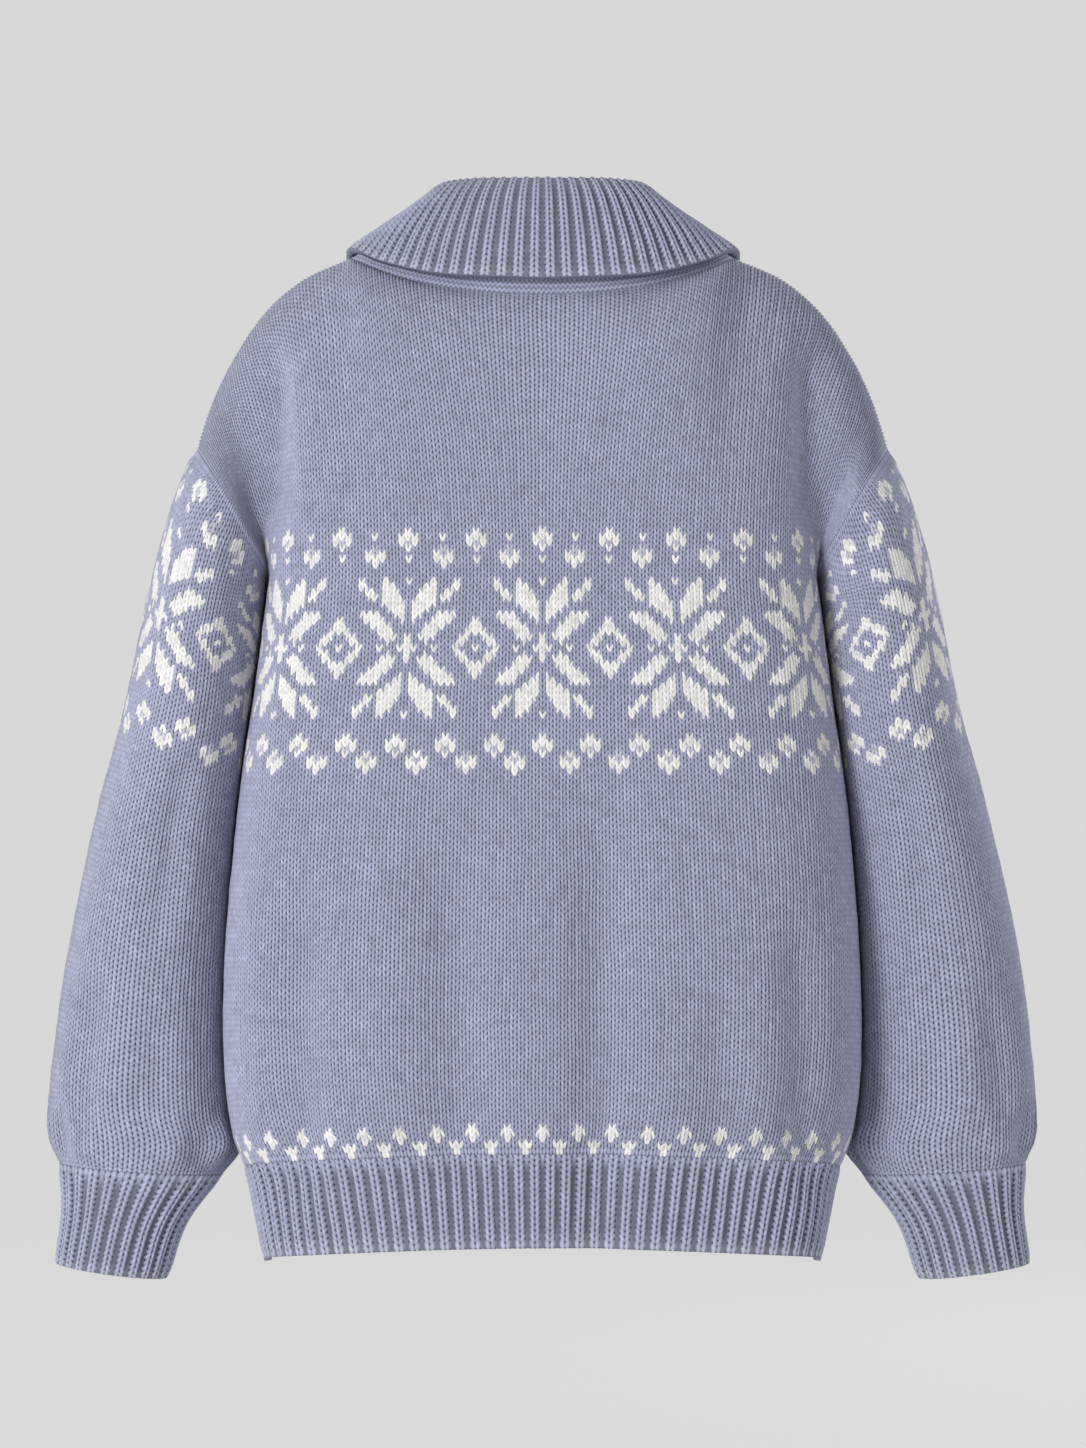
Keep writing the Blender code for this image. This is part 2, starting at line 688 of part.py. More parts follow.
def add_tapes(panels, hem, look):
    """The two woven tapes, sewn behind the front edges. Returns the middle line between them."""
    for name, side, facing in (("front_left", LEFT, -1), ("front_right", RIGHT, -1)):
        edges, far, out = zip_rows(panels, hem, name)
        near = edges * [0, 1, 1] + [side * TAPE_INSIDE, 0, 0]
        columns = [near, edges, far] if side == RIGHT else [far, edges, near]
        face = np.stack(columns, 1) - out[:, None] * TAPE_GAP
        wall("zip_tape_" + name[6:], face, face - out[:, None] * TAPE_WALL, facing, look)
    middle = edges * [0, 1, 1] - out * (TAPE_GAP + TAPE_WALL / 2)
    return middle, out


def stretch(middle, out, start, end):
    """The zip's middle line between two lengths from its foot, and the way out of it."""
    run = np.concatenate(([0], np.cumsum(np.linalg.norm(np.diff(middle, axis=0), axis=1))))
    at = np.concatenate(([start], run[(run > start) & (run < end)], [end]))
    points = np.stack([np.interp(at, run, middle[:, axis]) for axis in range(3)], 1)
    ways = np.stack([np.interp(at, run, out[:, axis]) for axis in range(3)], 1)
    return points, unit(ways), run[-1]


def add_bar(name, middle, out, start, end, depth, look):
    """A bar of the chain's width along the zip's middle line."""
    points, ways, _ = stretch(middle, out, start, end)
    across = np.array([[-CHAIN_HALF, 0, 0], [CHAIN_HALF, 0, 0]])
    face = points[:, None] + across[None] + ways[:, None] * depth / 2
    wall(name, face, face - ways[:, None] * depth, -1, look)


def block(name, size, place, bevel=0.0, collection=None):
    """A box of a size about a place, with its edges eased."""
    half = np.array(size) / 2
    corners = [
        (x * half[0] + place[0], y * half[1] + place[1], z * half[2] + place[2])
        for x in (-1, 1)
        for y in (-1, 1)
        for z in (-1, 1)
    ]
    faces = [(0, 1, 3, 2), (4, 6, 7, 5), (0, 4, 5, 1), (2, 3, 7, 6), (0, 2, 6, 4), (1, 5, 7, 3)]
    mesh = bpy.data.meshes.new(name)
    mesh.from_pydata(corners, [], faces)
    made = bpy.data.objects.new(name, mesh)
    (collection or GARMENT).objects.link(made)
    if bevel:
        eased = made.modifiers.new("eased", "BEVEL")
        eased.width = bevel
        eased.segments = 2
    return made


def joined(base, tool, operation):
    """Applies a helper to a piece, as a Boolean."""
    change = base.modifiers.new(tool.name, "BOOLEAN")
    change.operation = operation
    change.solver = "EXACT"
    change.object = tool
    tool.hide_render = True
    tool.display_type = "WIRE"


def stood(piece, pose, look):
    """Puts a piece made level at the origin into its place on the zip."""
    piece.matrix_world = pose
    piece.data.materials.append(look)


def add_slider(middle, out, total, look):
    """The slider and its pull tab, made with x across, y into the cloth and z up the zip."""
    centre = total - SLIDER_BELOW_END
    points, ways, _ = stretch(middle, out, centre - SLIDER_LENGTH / 2, centre + SLIDER_LENGTH / 2)
    up = unit(points[-1] - points[0])
    into = -unit(np.cross(up, [1.0, 0.0, 0.0]))
    if into @ ways[0] > 0:
        into = -into
    place = (points[0] + points[-1]) / 2
    pose = Matrix.Identity(4)
    for row in range(3):
        pose[row][0] = (1.0, 0.0, 0.0)[row]
        pose[row][1] = into[row]
        pose[row][2] = up[row]
        pose[row][3] = place[row]
    front = -(SLIDER_MOUTH + PLATE_WALL / 2)
    plate = (SLIDER_WIDTH, PLATE_WALL, SLIDER_LENGTH)
    slider = block("zip_slider", plate, (0, front, 0), 0.0004)
    tools = [
        block("back_plate", plate, (0, -front, 0), 0.0004, CUTTERS),
        block(
            "post",
            (POST_WIDTH, 2 * SLIDER_MOUTH + PLATE_WALL, POST_LENGTH),
            (0, 0, SLIDER_LENGTH / 2 - POST_LENGTH / 2 - 0.0006),
            0.0,
            CUTTERS,
        ),
    ]
    face = SLIDER_MOUTH + PLATE_WALL
    bridge = block(
        "bridge",
        (BRIDGE_WIDTH, BRIDGE_HEIGHT + PLATE_WALL / 2, BRIDGE_LENGTH),
        (0, -face - BRIDGE_HEIGHT / 2 + PLATE_WALL / 4, BRIDGE_UP),
        0.0003,
        CUTTERS,
    )
    window = block(
        "bridge_window",
        (
            2 * BRIDGE_WIDTH,
            BRIDGE_HEIGHT - BRIDGE_WALL,
            BRIDGE_LENGTH - 2 * BRIDGE_WALL,
        ),
        (0, -face - (BRIDGE_HEIGHT - BRIDGE_WALL) / 2, BRIDGE_UP),
        0.0,
        CUTTERS,
    )
    joined(bridge, window, "DIFFERENCE")
    for tool in tools + [bridge]:
        joined(slider, tool, "UNION")
    for tool in tools + [bridge, window]:
        tool.matrix_world = pose
    stood(slider, pose, look)

    tab = block(
        "zip_pull",
        (PULL_WIDTH, PULL_WALL, PULL_LENGTH),
        (0, 0, -PULL_LENGTH / 2),
        0.0004,
    )
    eye = block(
        "pull_eye",
        (EYE_WIDTH, 3 * PULL_WALL, EYE_LENGTH + AXLE_RADIUS),
        (0, 0, -(EYE_LENGTH - AXLE_RADIUS) / 2),
        0.0,
        CUTTERS,
    )
    joined(tab, eye, "DIFFERENCE")
    bpy.ops.mesh.primitive_cylinder_add(
        vertices=16, radius=AXLE_RADIUS, depth=PULL_WIDTH - 0.0008, rotation=(0, math.pi / 2, 0)
    )
    axle = bpy.context.object
    axle.name = "pull_axle"
    for collection in list(axle.users_collection):
        collection.objects.unlink(axle)
    CUTTERS.objects.link(axle)
    joined(tab, axle, "UNION")
    at_axle = pose @ Matrix.Translation((0, -face - AXLE_UP, BRIDGE_UP))
    eye.matrix_world = at_axle
    axle.matrix_world = at_axle @ axle.matrix_world
    stood(tab, at_axle, look)
    return centre - SLIDER_LENGTH / 2


clear_scene()
GARMENT = bpy.data.collections.new("zip_up_cardigan")
CUTTERS = bpy.data.collections.new("cutters")
CUTTERS.hide_render = True
for made in (GARMENT, CUTTERS):
    bpy.context.scene.collection.children.link(made)
knit = finish("knit", KNIT, 0.9)
rib_yarn = finish("rib", RIB_YARN, 0.9)
tape_cloth = finish("tape", TAPE_CLOTH, 0.85)
zip_metal = finish("zip_metal", ZIP_METAL, 0.35, 1.0)

back_grid, front_grids, sleeve_grids = build_panels()
panel_walls = add_panels(back_grid, front_grids, sleeve_grids, knit)
hem_walls = add_hem(rib_yarn)
add_cuffs(rib_yarn)
add_collar(panel_walls, rib_yarn)

zip_middle, zip_out = add_tapes(panel_walls, hem_walls, tape_cloth)
_, _, zip_length = stretch(zip_middle, zip_out, 0.0, 0.01)
add_slider(zip_middle, zip_out, zip_length, zip_metal)
post_foot = zip_length - SLIDER_BELOW_END + SLIDER_LENGTH / 2 - POST_LENGTH - 0.0006
add_bar("zip_box", zip_middle, zip_out, 0.0, BOX_HEIGHT, BOX_WALL, zip_metal)
chain_top = post_foot - 0.0004
add_bar(
    "zip_chain", zip_middle, zip_out, BOX_HEIGHT + SEAM_GAP, chain_top, CHAIN_WALL, zip_metal
)
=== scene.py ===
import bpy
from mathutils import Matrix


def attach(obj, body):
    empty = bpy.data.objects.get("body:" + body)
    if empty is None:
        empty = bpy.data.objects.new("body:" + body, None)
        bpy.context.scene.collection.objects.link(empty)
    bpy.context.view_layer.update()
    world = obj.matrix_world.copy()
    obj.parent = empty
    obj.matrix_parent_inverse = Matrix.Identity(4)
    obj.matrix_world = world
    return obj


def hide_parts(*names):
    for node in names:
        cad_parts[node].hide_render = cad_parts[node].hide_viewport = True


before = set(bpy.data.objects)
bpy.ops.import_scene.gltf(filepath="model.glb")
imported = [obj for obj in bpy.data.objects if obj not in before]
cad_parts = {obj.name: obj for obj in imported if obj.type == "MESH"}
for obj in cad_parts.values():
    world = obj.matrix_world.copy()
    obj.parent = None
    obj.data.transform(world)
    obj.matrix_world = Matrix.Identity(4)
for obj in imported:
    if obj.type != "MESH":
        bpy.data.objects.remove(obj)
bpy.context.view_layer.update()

# Back panel: one knitted rectangle with dropped shoulders, in stocking stitch of thick blue
# wool. Its stars, diamonds and seeds are knitted in with off-white yarn as the rows go up, and
# it is sewn to the fronts along the shoulders and sides.
import math

import bpy
import numpy as np
from mathutils import Vector
from mathutils.bvhtree import BVHTree

PER_WALE = 4
HALF_WALES = 59
LOWER_COURSES = 104
UPPER_COURSES = 54
CLOTH = 0.0035
LEAST_TOP_PITCH = 0.45
EASE_REACH, EASE_SOFT = 24, 9.6
EASE_ROWS = (8, 7)
EASE_FROM_SIDE = (1, 12)
RIB_TOP = -0.583
UNDERARM = -0.200
SIDE_DROP = 0.0175
DROP_FROM, DROP_WHOLE = 0.30, 0.60
SIDE_EASE = 0.26
CURVE_STEPS = 360
NECK_SHARE = 0.45
NECK_FULL = 0.25
NECK_DIP = 1.2
BACK, FRONT = 1, -1
LEFT, RIGHT = -1, 1

# Level sections of the body: height, half width, depth of the back, of the front, squareness
BODY = [
    (-0.650, 0.187, 0.100, 0.100, 2.80),
    (-0.618, 0.193, 0.105, 0.106, 2.80),
    (-0.583, 0.201, 0.111, 0.113, 2.85),
    (-0.568, 0.207, 0.115, 0.118, 2.90),
    (-0.540, 0.2125, 0.118, 0.121, 2.95),
    (-0.505, 0.2150, 0.117, 0.121, 3.00),
    (-0.452, 0.2140, 0.114, 0.118, 3.15),
    (-0.391, 0.2090, 0.111, 0.114, 3.30),
    (-0.333, 0.2025, 0.109, 0.110, 3.45),
    (-0.275, 0.194, 0.108, 0.107, 3.55),
    (-0.200, 0.184, 0.108, 0.104, 3.55),
]

# The shoulder seam out from the neck: x, y, z
SHOULDER = [
    (0.131, 0.004, 0.017),
    (0.162, 0.004, 0.003),
    (0.187, 0.005, -0.018),
    (0.208, 0.008, -0.049),
    (0.223, 0.012, -0.080),
    (0.234, 0.015, -0.113),
]
NECK_MIDDLE = {BACK: (0.066, -0.011), FRONT: (-0.074, -0.058)}

# Handles of the upper curves: share of the half width, then x, y and z at the underarm and at
# the top edge
GUIDES = {
    BACK: [
        (0.00, 0.000, -0.002, 0.075, 0.000, 0.028, -0.055),
        (0.45, 0.002, -0.001, 0.110, 0.000, 0.071, -0.009),
        (0.70, 0.000, 0.007, 0.080, -0.001, 0.057, -0.014),
        (0.85, -0.002, 0.032, 0.035, -0.002, 0.053, -0.023),
        (1.00, 0.000, 0.085, 0.015, -0.013, 0.080, -0.015),
    ],
    FRONT: [
        (0.00, 0.000, 0.001, 0.050, 0.000, 0.021, -0.040),
        (0.45, 0.002, -0.001, 0.100, 0.000, 0.078, -0.008),
        (0.70, 0.000, 0.007, 0.075, -0.001, 0.066, -0.014),
        (0.85, -0.002, 0.032, 0.035, -0.002, 0.068, -0.023),
        (1.00, 0.000, 0.085, 0.015, -0.013, 0.105, -0.012),
    ],
}

# Hanging folds: side, x and z of the top, x and z of the foot, depth, width
FOLD_END = 0.3
FOLD_FROM_SIDE = 0.022
BODY_FOLDS = [
    (BACK, 0.182, -0.030, 0.183, -0.185, 0.012, 0.014),
    (BACK, -0.182, -0.030, -0.183, -0.185, 0.012, 0.014),
    (BACK, 0.062, -0.340, 0.050, -0.640, 0.010, 0.022),
    (BACK, -0.042, -0.300, -0.036, -0.690, 0.011, 0.020),
    (BACK, 0.158, -0.380, 0.166, -0.650, 0.009, 0.018),
    (BACK, -0.118, -0.440, -0.122, -0.640, 0.005, 0.018),
    (BACK, 0.104, -0.330, 0.100, -0.620, -0.004, 0.020),
    (BACK, -0.170, -0.400, -0.180, -0.640, 0.007, 0.016),
    (FRONT, 0.182, -0.030, 0.183, -0.185, 0.012, 0.014),
    (FRONT, -0.182, -0.030, -0.183, -0.185, 0.012, 0.014),
    (FRONT, 0.076, -0.330, 0.070, -0.660, 0.009, 0.021),
    (FRONT, -0.070, -0.360, -0.064, -0.640, 0.008, 0.020),
    (FRONT, 0.140, -0.360, 0.152, -0.640, 0.010, 0.020),
    (FRONT, -0.134, -0.320, -0.146, -0.660, 0.010, 0.021),
]

# The chart, in wales out from the middle of a star and courses up from it. Each quarter of a
# star has two petals and a dash beside them, and half a diamond lies between two stars.
PETALS = [
    [(0.5, 4.3), (0.5, 8.5), (3.1, 12.3), (3.8, 12.3), (3.8, 7.9)],
    [(1.4, 2.4), (4.4, 6.5), (7.6, 6.5), (2.8, 0.7)],
    [(4.55, 8.3), (4.55, 9.3), (6.6, 12.2), (7.5, 12.2), (7.5, 11.2), (5.4, 8.3)],
]
STAR_COURSE = 90
STAR_REPEAT = 20
STAR_HEART = 2.4
SINGLE_STITCHES = [(1, 0), (0, 12), (4, 0), (10, 0)]
DIAMOND_OUTSIDE = (3.5, 5.6)
DIAMOND_INSIDE = (2.3, 3.0)

# Small motifs, top course first, two marks to a stitch: # is off-white, o is grey
BUD = ["..##..", "######", "##oo##", "..##..", "......", "..##.."]
RING = ["......", "..##..", "......", "..oo..", "##oo##", "######", "..##.."]
HIGH_SEED = ["..##..", "######", "##oo##", "..##.."]
LOW_SEED = ["......", "......", "......", "..##..", "##oo##", "######", "..##.."]
HEM_HIGH = ["..##..", ".####.", "..##.."]
HEM_LOW = ["......", "......", "......", ".####.", "..##.."]
MOTIF_HALF = 1.5
GREY_YARN = 0.35

# Bands of them: top course, wales to a repeat, wale of the first one, motif
UPPER_SEEDS = [(111, 10, 0, BUD), (111, 10, 5, RING)]
LOWER_SEEDS = [(74, 7, 0, HIGH_SEED), (74, 7, 4, LOW_SEED)]
HEM_SEEDS = [(4, 5, 0, HEM_HIGH), (4, 5, 2.5, HEM_LOW)]
GREY_COURSE, GREY_REPEAT, GREY_WALE = 71, 21, 11

# The relief of a stitch from the line between two wales: leg, middle, leg
PROUD = 0.0006
STITCH_HIGH = np.array([-0.0010, 0.0006, -0.0006, 0.0006])
STITCH_CLIMB = np.array([0.85, 0.42, 0.0, 0.42])
LEG_OFFSET = 0.125
KNIT_STEPS = (2, 4)

# How far the stitches are held at the ends and sides, in courses and wales
CLIMB_HELD = 1.5
SEAM_DIP = (-0.8, 1.2)
SEAM_RISE = (0.0, 1.8)
UNEVEN_HELD = (0.5, 3.0)
LUMPS_HELD = (2.0, 14.0)

# Unevenness and the reach of each kind along and across the courses
UNEVEN, UNEVEN_REACH = 0.00013, (0.7, 1.0)
LUMPS, LUMPS_REACH = 0.0005, (8.0, 30.0)
SWAY, SIDE_SWAY_REACH, UP_SWAY_REACH = 0.00022, (3.0, 4.0), (0.8, 5.0)
TONE_SEED = 7

# Colours of the yarn, and how strong the painted shade in the hollows beside its strands is
LINE_PAINTED_SHADE = 0.42
DOT_PAINTED_SHADE = 0.72
JOINT_PAINTED_SHADE = 0.18
WHITE_SHADE_KEPT = 0.28
GROOVE_PAINTED_SHADE = 0.62
BLUE = (0.478, 0.502, 0.682)
WHITE = (0.950, 0.943, 0.930)
WOOL_FINISH = {
    "Roughness": 0.93,
    "Specular IOR Level": 0.2,
    "Sheen Weight": 0.3,
    "Sheen Roughness": 0.5,
    "Sheen Tint": (0.86, 0.88, 1.0, 1.0),
}
# How far the purl bumps sway, and the painted shade in the hollows between them
PURL_SWAY, PURL_PAINTED_SHADE = 0.22, 0.6
STRAND_ROUND = 0.8
GROOVE_BEGUN = 3.5
GROOVE_EDGE = (0.05, 0.85)
TWIST_ACROSS, TWIST_UP, PLY_HIGH = 9.0, 3.0, 0.06
FIBRE_FINE, FIBRE_HIGH, FIBRE_ROUGH = 1300.0, 0.55, 0.65
FIBRE_DETAIL, TONE_DETAIL = 3.0, 2.0
WOOL_RELIEF = {"Strength": 0.8, "Distance": 0.0011}
SPECKS, SPECK_TONE = 420.0, 0.36
CLOUDS, CLOUD_TONE = 38.0, 0.16
STITCH_TONE = 0.055

# Where the faces lie on the map for baking: share of its breadth and height, and the corner
OUTER_CHART = ([0.69, 0.93], [0.005, 0.005])
INNER_CHART = ([0.285, 0.93], [0.71, 0.005])
RIM_CHART = (0.955, 0.99)
RIM_GAP = 0.15


def smooth(table, at):
    """Rows read off smooth curves through a table, whose first column rises."""
    rows = np.array(table, float)
    keys, values = rows[:, 0], rows[:, 1:]
    slopes = np.gradient(values, keys, axis=0)
    at = np.clip(np.atleast_1d(at), keys[0], keys[-1])
    first = np.clip(np.searchsorted(keys, at, side="right") - 1, 0, len(keys) - 2)
    step = (keys[first + 1] - keys[first])[:, None]
    t = (at - keys[first])[:, None] / step
    low, high = values[first], values[first + 1]
    leave, arrive = slopes[first] * step, slopes[first + 1] * step
    ends = (1 + 2 * t) * (1 - t) ** 2 * low + t**2 * (3 - 2 * t) * high
    return ends + t * (1 - t) ** 2 * leave - t**2 * (1 - t) * arrive


def step_up(value, low, high):
    t = np.clip((value - low) / (high - low), 0, 1)
    return t * t * (3 - 2 * t)


def unit(vectors):
    length = np.linalg.norm(vectors, axis=-1, keepdims=True)
    return vectors / np.maximum(length, 1e-12)


def length_along(points):
    """How far along a line its points lie, or a stack of lines from one to the next."""
    steps = np.linalg.norm(np.diff(points, axis=0), axis=-1)
    return np.concatenate(([0], np.cumsum(steps.reshape(len(steps), -1).mean(1))))


def read_off(line, places, at):
    """Points of a line at other places along it."""
    return np.stack([np.interp(at, places, line[:, axis]) for axis in range(3)], 1)


def lofted(lines, run, courses):
    """Even courses on a smooth surface through lines that lie this far along it."""
    table = np.column_stack([run, lines.reshape(len(lines), -1)])
    even = np.linspace(0, run[-1], courses + 1)
    return smooth(table, even).reshape(courses + 1, -1, 3)


def bell(half, wide):
    return np.exp(-((np.arange(-half, half + 1) / wide) ** 2))


def blurred(field, axis, weights, margins):
    """A grid of values blurred along one axis with these weights."""
    margin = [(0, 0)] * field.ndim
    margin[axis] = (len(weights) // 2, len(weights) // 2)
    padded = np.pad(field, margin, margins)
    return np.apply_along_axis(np.convolve, axis, padded, weights, "valid")


def placed(name, data):
    """A new object in the scene."""
    made = bpy.data.objects.new(name, data)
    bpy.context.collection.objects.link(made)
    return made


def level(side, across, height):
    """One level course of the body, back or front."""
    half_width, back, front, squareness = smooth(BODY, height)[0]
    turn = np.linspace(0, math.pi / 2, CURVE_STEPS + 1)
    x = half_width * np.sin(turn) ** (2 / squareness)
    y = (back if side == BACK else front) * np.cos(turn).clip(0) ** (2 / squareness)
    run = length_along(np.stack([x, y], 1))
    share = np.abs(across)
    at = (share + SIDE_EASE * share**3 * (1 - share)) * run[-1]
    drop = SIDE_DROP * across**2 * step_up(-height, DROP_FROM, DROP_WHOLE)
    x, y = np.interp(at, run, x), np.interp(at, run, y)
    return np.stack([np.sign(across) * x, side * y, height - drop], 1)


def top_edge(side, across):
    """The top of a panel: half of the neckline, then the shoulder seam."""
    share = np.abs(across)
    seam = np.array(SHOULDER)
    run = length_along(seam)
    along = ((share - NECK_SHARE) / (1 - NECK_SHARE)).clip(0, 1) * run[-1]
    shoulder = smooth(np.column_stack([run, seam]), along)
    width, end_y, end_z = SHOULDER[0]
    middle_y, middle_z = NECK_MIDDLE[side]
    round_it = (share / NECK_SHARE).clip(0, 1)
    out = round_it * (1 + NECK_FULL - NECK_FULL * round_it**2)
    y = end_y + (middle_y - end_y) * np.sqrt((1 - out**2).clip(0))
    z = end_z + (middle_z - end_z) * (1 - round_it**2) ** NECK_DIP
    neck = np.stack([width * out, y, z], 1)
    points = np.where((share <= NECK_SHARE)[:, None], neck, shoulder)
    points[:, 0] *= np.sign(across)
    return points


def bent_over(side, across, up):
    """The upper courses, which bend from the underarm level over to the top edge."""
    guide = smooth(GUIDES[side], np.abs(across))
    turn = np.stack([np.sign(across), np.full_like(across, side), np.ones_like(across)], 1)
    start, end = level(side, across, UNDERARM), top_edge(side, across)
    leave, arrive = start + guide[:, :3] * turn, end + guide[:, 3:] * turn
    w = up[:, None, None]
    return (
        (1 - w) ** 3 * start
        + 3 * w * (1 - w) ** 2 * leave
        + 3 * w**2 * (1 - w) * arrive
        + w**3 * end
    )


def facings(grid, facing, closed=False):
    """The way out of the cloth at each point of a grid."""
    points = np.concatenate([grid, grid[:, :1]], 1) if closed else grid
    one = points[1:, 1:] - points[:-1, :-1]
    two = points[1:, :-1] - points[:-1, 1:]
    cells = np.cross(two, one) * facing
    total = np.zeros_like(points)
    for rows in (slice(0, -1), slice(1, None)):
        for columns in (slice(0, -1), slice(1, None)):
            total[rows, columns] += cells
    if closed:
        total[:, 0] += total[:, -1]
        total = total[:, :-1]
    return total


def lining_of(grid, facing, closed=False):
    """The plain inner face of a cloth, one thickness in from its outer face."""
    return grid - unit(facings(grid, facing, closed)) * CLOTH


def pressed(grid, facing, folds, closed=False, mirror=1):
    """The grid with its hanging folds, each deepest at the middle of its length."""
    normal = facings(grid, facing, closed)
    if not closed:
        normal[..., 2] = 0
    normal = unit(normal)
    depth = np.zeros(grid.shape[:2])
    for side, top_x, top_z, foot_x, foot_z, deep, wide in folds:
        line = np.array([(foot_x - top_x) * mirror, foot_z - top_z])
        away = grid[..., [0, 2]] - np.array([top_x * mirror, top_z])
        along = (away @ line) / (line @ line)
        off = away - along[..., None] * line
        reach = np.exp(-((off**2).sum(-1)) / wide**2)
        ends = step_up(along, 0.0, FOLD_END) * step_up(1 - along, 0.0, FOLD_END)
        depth += deep * reach * ends * step_up(side * grid[..., 1], 0.0, FOLD_FROM_SIDE)
    return grid - normal * depth[..., None]


def course_spaced(upper):
    """The upper rows spread along each wale so that the courses run on at the lower pitch and
    close up or open out towards the top."""
    pitch = (UNDERARM - RIB_TOP) / LOWER_COURSES
    t = np.linspace(0, 1, UPPER_COURSES + 1)
    spread = np.empty((len(t), *upper.shape[1:]))
    for wale in range(upper.shape[1]):
        run = length_along(upper[:, wale])
        leave = pitch * UPPER_COURSES / run[-1]
        arrive = max(3 - 2 * leave, LEAST_TOP_PITCH)
        share = leave * (t - 2 * t**2 + t**3) + 3 * t**2 - 2 * t**3 + arrive * (t**3 - t**2)
        spread[:, wale] = read_off(upper[:, wale], run, share * run[-1])
    return spread


def eased(upper, across):
    """The upper rows with the bend that runs down from the neck's corner smoothed away."""
    weights = bell(EASE_REACH, EASE_SOFT)
    softer = blurred(upper, 1, weights / weights.sum(), "edge")
    rows = np.arange(len(upper))
    share = step_up(rows, 0, EASE_ROWS[0]) * step_up(rows[::-1], 0, EASE_ROWS[1])
    from_side = np.minimum(np.abs(across - across[0]), np.abs(across - across[-1])) * HALF_WALES
    share = share[:, None] * step_up(from_side, *EASE_FROM_SIDE)[None]
    return upper + (softer - upper) * share[..., None]


def panel_face(side, across):
    """The plain outer face of a panel, one row of points to a course."""
    heights = np.linspace(RIB_TOP, UNDERARM, LOWER_COURSES + 1)[:-1]
    lower = np.stack([level(side, across, height) for height in heights])
    upper = bent_over(side, across, np.linspace(0, 1, 3 * UPPER_COURSES + 1))
    upper = eased(course_spaced(upper), across)
    grid = pressed(np.concatenate([lower, upper]), side, BODY_FOLDS)
    grid[-1] = top_edge(side, across)
    return grid


def within(x, y, corners):
    """Whether points lie inside a closed outline."""
    found = np.zeros(x.shape, bool)
    for (x1, y1), (x2, y2) in zip(corners, corners[1:] + corners[:1]):
        if y1 != y2:
            found ^= ((y1 > y) != (y2 > y)) & (x < x1 + (y - y1) * (x2 - x1) / (y2 - y1))
    return found


def sown(yarn, leg, course, bands):
    """Adds the small motifs of these bands, counted down from their top course."""
    for top, repeat, first, motif in bands:
        column = np.floor(2 * np.mod(leg - first + MOTIF_HALF, repeat))
        for number, line in enumerate(motif):
            for place, mark in enumerate(line):
                if mark != ".":
                    here = (top - course == number) & (column == place)
                    yarn[here] = 1.0 if mark == "#" else GREY_YARN


def charted(leg, course, with_hem):
    """The yarn of each leg of a stitch: 0 for blue, 1 for off-white."""
    leg, course = np.broadcast_arrays(leg, course)
    yarn = np.zeros(leg.shape)
    half = STAR_REPEAT / 2
    out = np.abs(np.mod(leg + half, STAR_REPEAT) - half)
    up = np.abs(course - STAR_COURSE)
    for corners in PETALS:
        yarn[within(out, up, corners)] = 1.0
    yarn[(out < 0.5) & (up <= STAR_HEART)] = 1.0
    for wale, row in SINGLE_STITCHES:
        yarn[(np.abs(out - wale) < 0.5) & (up == row)] = 1.0
    rim, hole = (
        np.abs(out - half) / wide + up / high for wide, high in (DIAMOND_OUTSIDE, DIAMOND_INSIDE)
    )
    yarn[(rim <= 1) & (hole >= 1)] = 1.0
    sown(yarn, leg, course, UPPER_SEEDS)
    sown(yarn, np.abs(leg), course, LOWER_SEEDS)
    wale = np.floor(np.abs(leg) + 0.5)
    yarn[(course == GREY_COURSE) & (np.mod(wale, GREY_REPEAT) == GREY_WALE)] = GREY_YARN
    if with_hem:
        sown(yarn, leg, course, HEM_SEEDS)
    return yarn


def wander(source, shape, along, across, closed):
    """Soft noise of even strength, blurred over some rows and columns."""
    field = source.normal(0, 1, shape)
    for axis, wide in ((0, along), (1, across)):
        weights = bell(int(2.5 * wide) + 1, wide * math.sqrt(2))
        field = blurred(field, axis, weights, "wrap" if closed and axis else "reflect")
    return field / field.std()


def stitched(base, facing, at, closed=False):
    """The right side of stocking stitch: two legs to a stitch, which climb out of its middle."""
    rows = len(base)
    quarter = np.round((at + 0.5) * PER_WALE).astype(int) % PER_WALE
    from_end = np.minimum(np.arange(rows), np.arange(rows)[::-1])[:, None]
    climb = STITCH_CLIMB[quarter] * np.clip(from_end / CLIMB_HELD, 0, 1)
    climbed = base.copy()
    climbed[:-1] += climb[:-1, :, None] * (base[1:] - base[:-1])
    from_top = np.arange(rows)[:: 1 if closed else -1][:, None]
    from_side = np.inf if closed else np.minimum(at - at[0], at[-1] - at)[None]
    from_edge = np.minimum(from_end, from_side)
    high = PROUD * step_up(np.minimum(from_top, from_side), *SEAM_RISE)
    high = high + STITCH_HIGH[quarter] * step_up(from_edge, *SEAM_DIP)
    source = np.random.default_rng(rows * len(at) + facing)
    held = step_up(from_edge, *UNEVEN_HELD)
    if closed:
        inside = (1 - np.cos(2 * math.pi * np.arange(len(at)) / len(at)))[None] / 2
        across = (np.roll(base, -1, 1) - np.roll(base, 1, 1)) / 2
    else:
        inside = step_up(from_side, *LUMPS_HELD)
        across = np.gradient(base, axis=1)
    high = high + UNEVEN * held * wander(source, high.shape, *UNEVEN_REACH, closed)
    high = high + LUMPS * held * inside * wander(source, high.shape, *LUMPS_REACH, closed)
    along = np.gradient(base, axis=0)
    for way, reach in ((across, SIDE_SWAY_REACH), (along, UP_SWAY_REACH)):
        sway = SWAY * held * wander(source, high.shape, *reach, closed)
        climbed += unit(way) * sway[..., None]
    return climbed + unit(facings(base, facing, closed)) * high[..., None]


def quads(grid):
    """The four corners of each cell of a grid."""
    return np.stack([grid[:-1, :-1], grid[:-1, 1:], grid[1:, 1:], grid[1:, :-1]], 2)


def kept_numbers(last, step):
    return [*range(0, last, step), last]


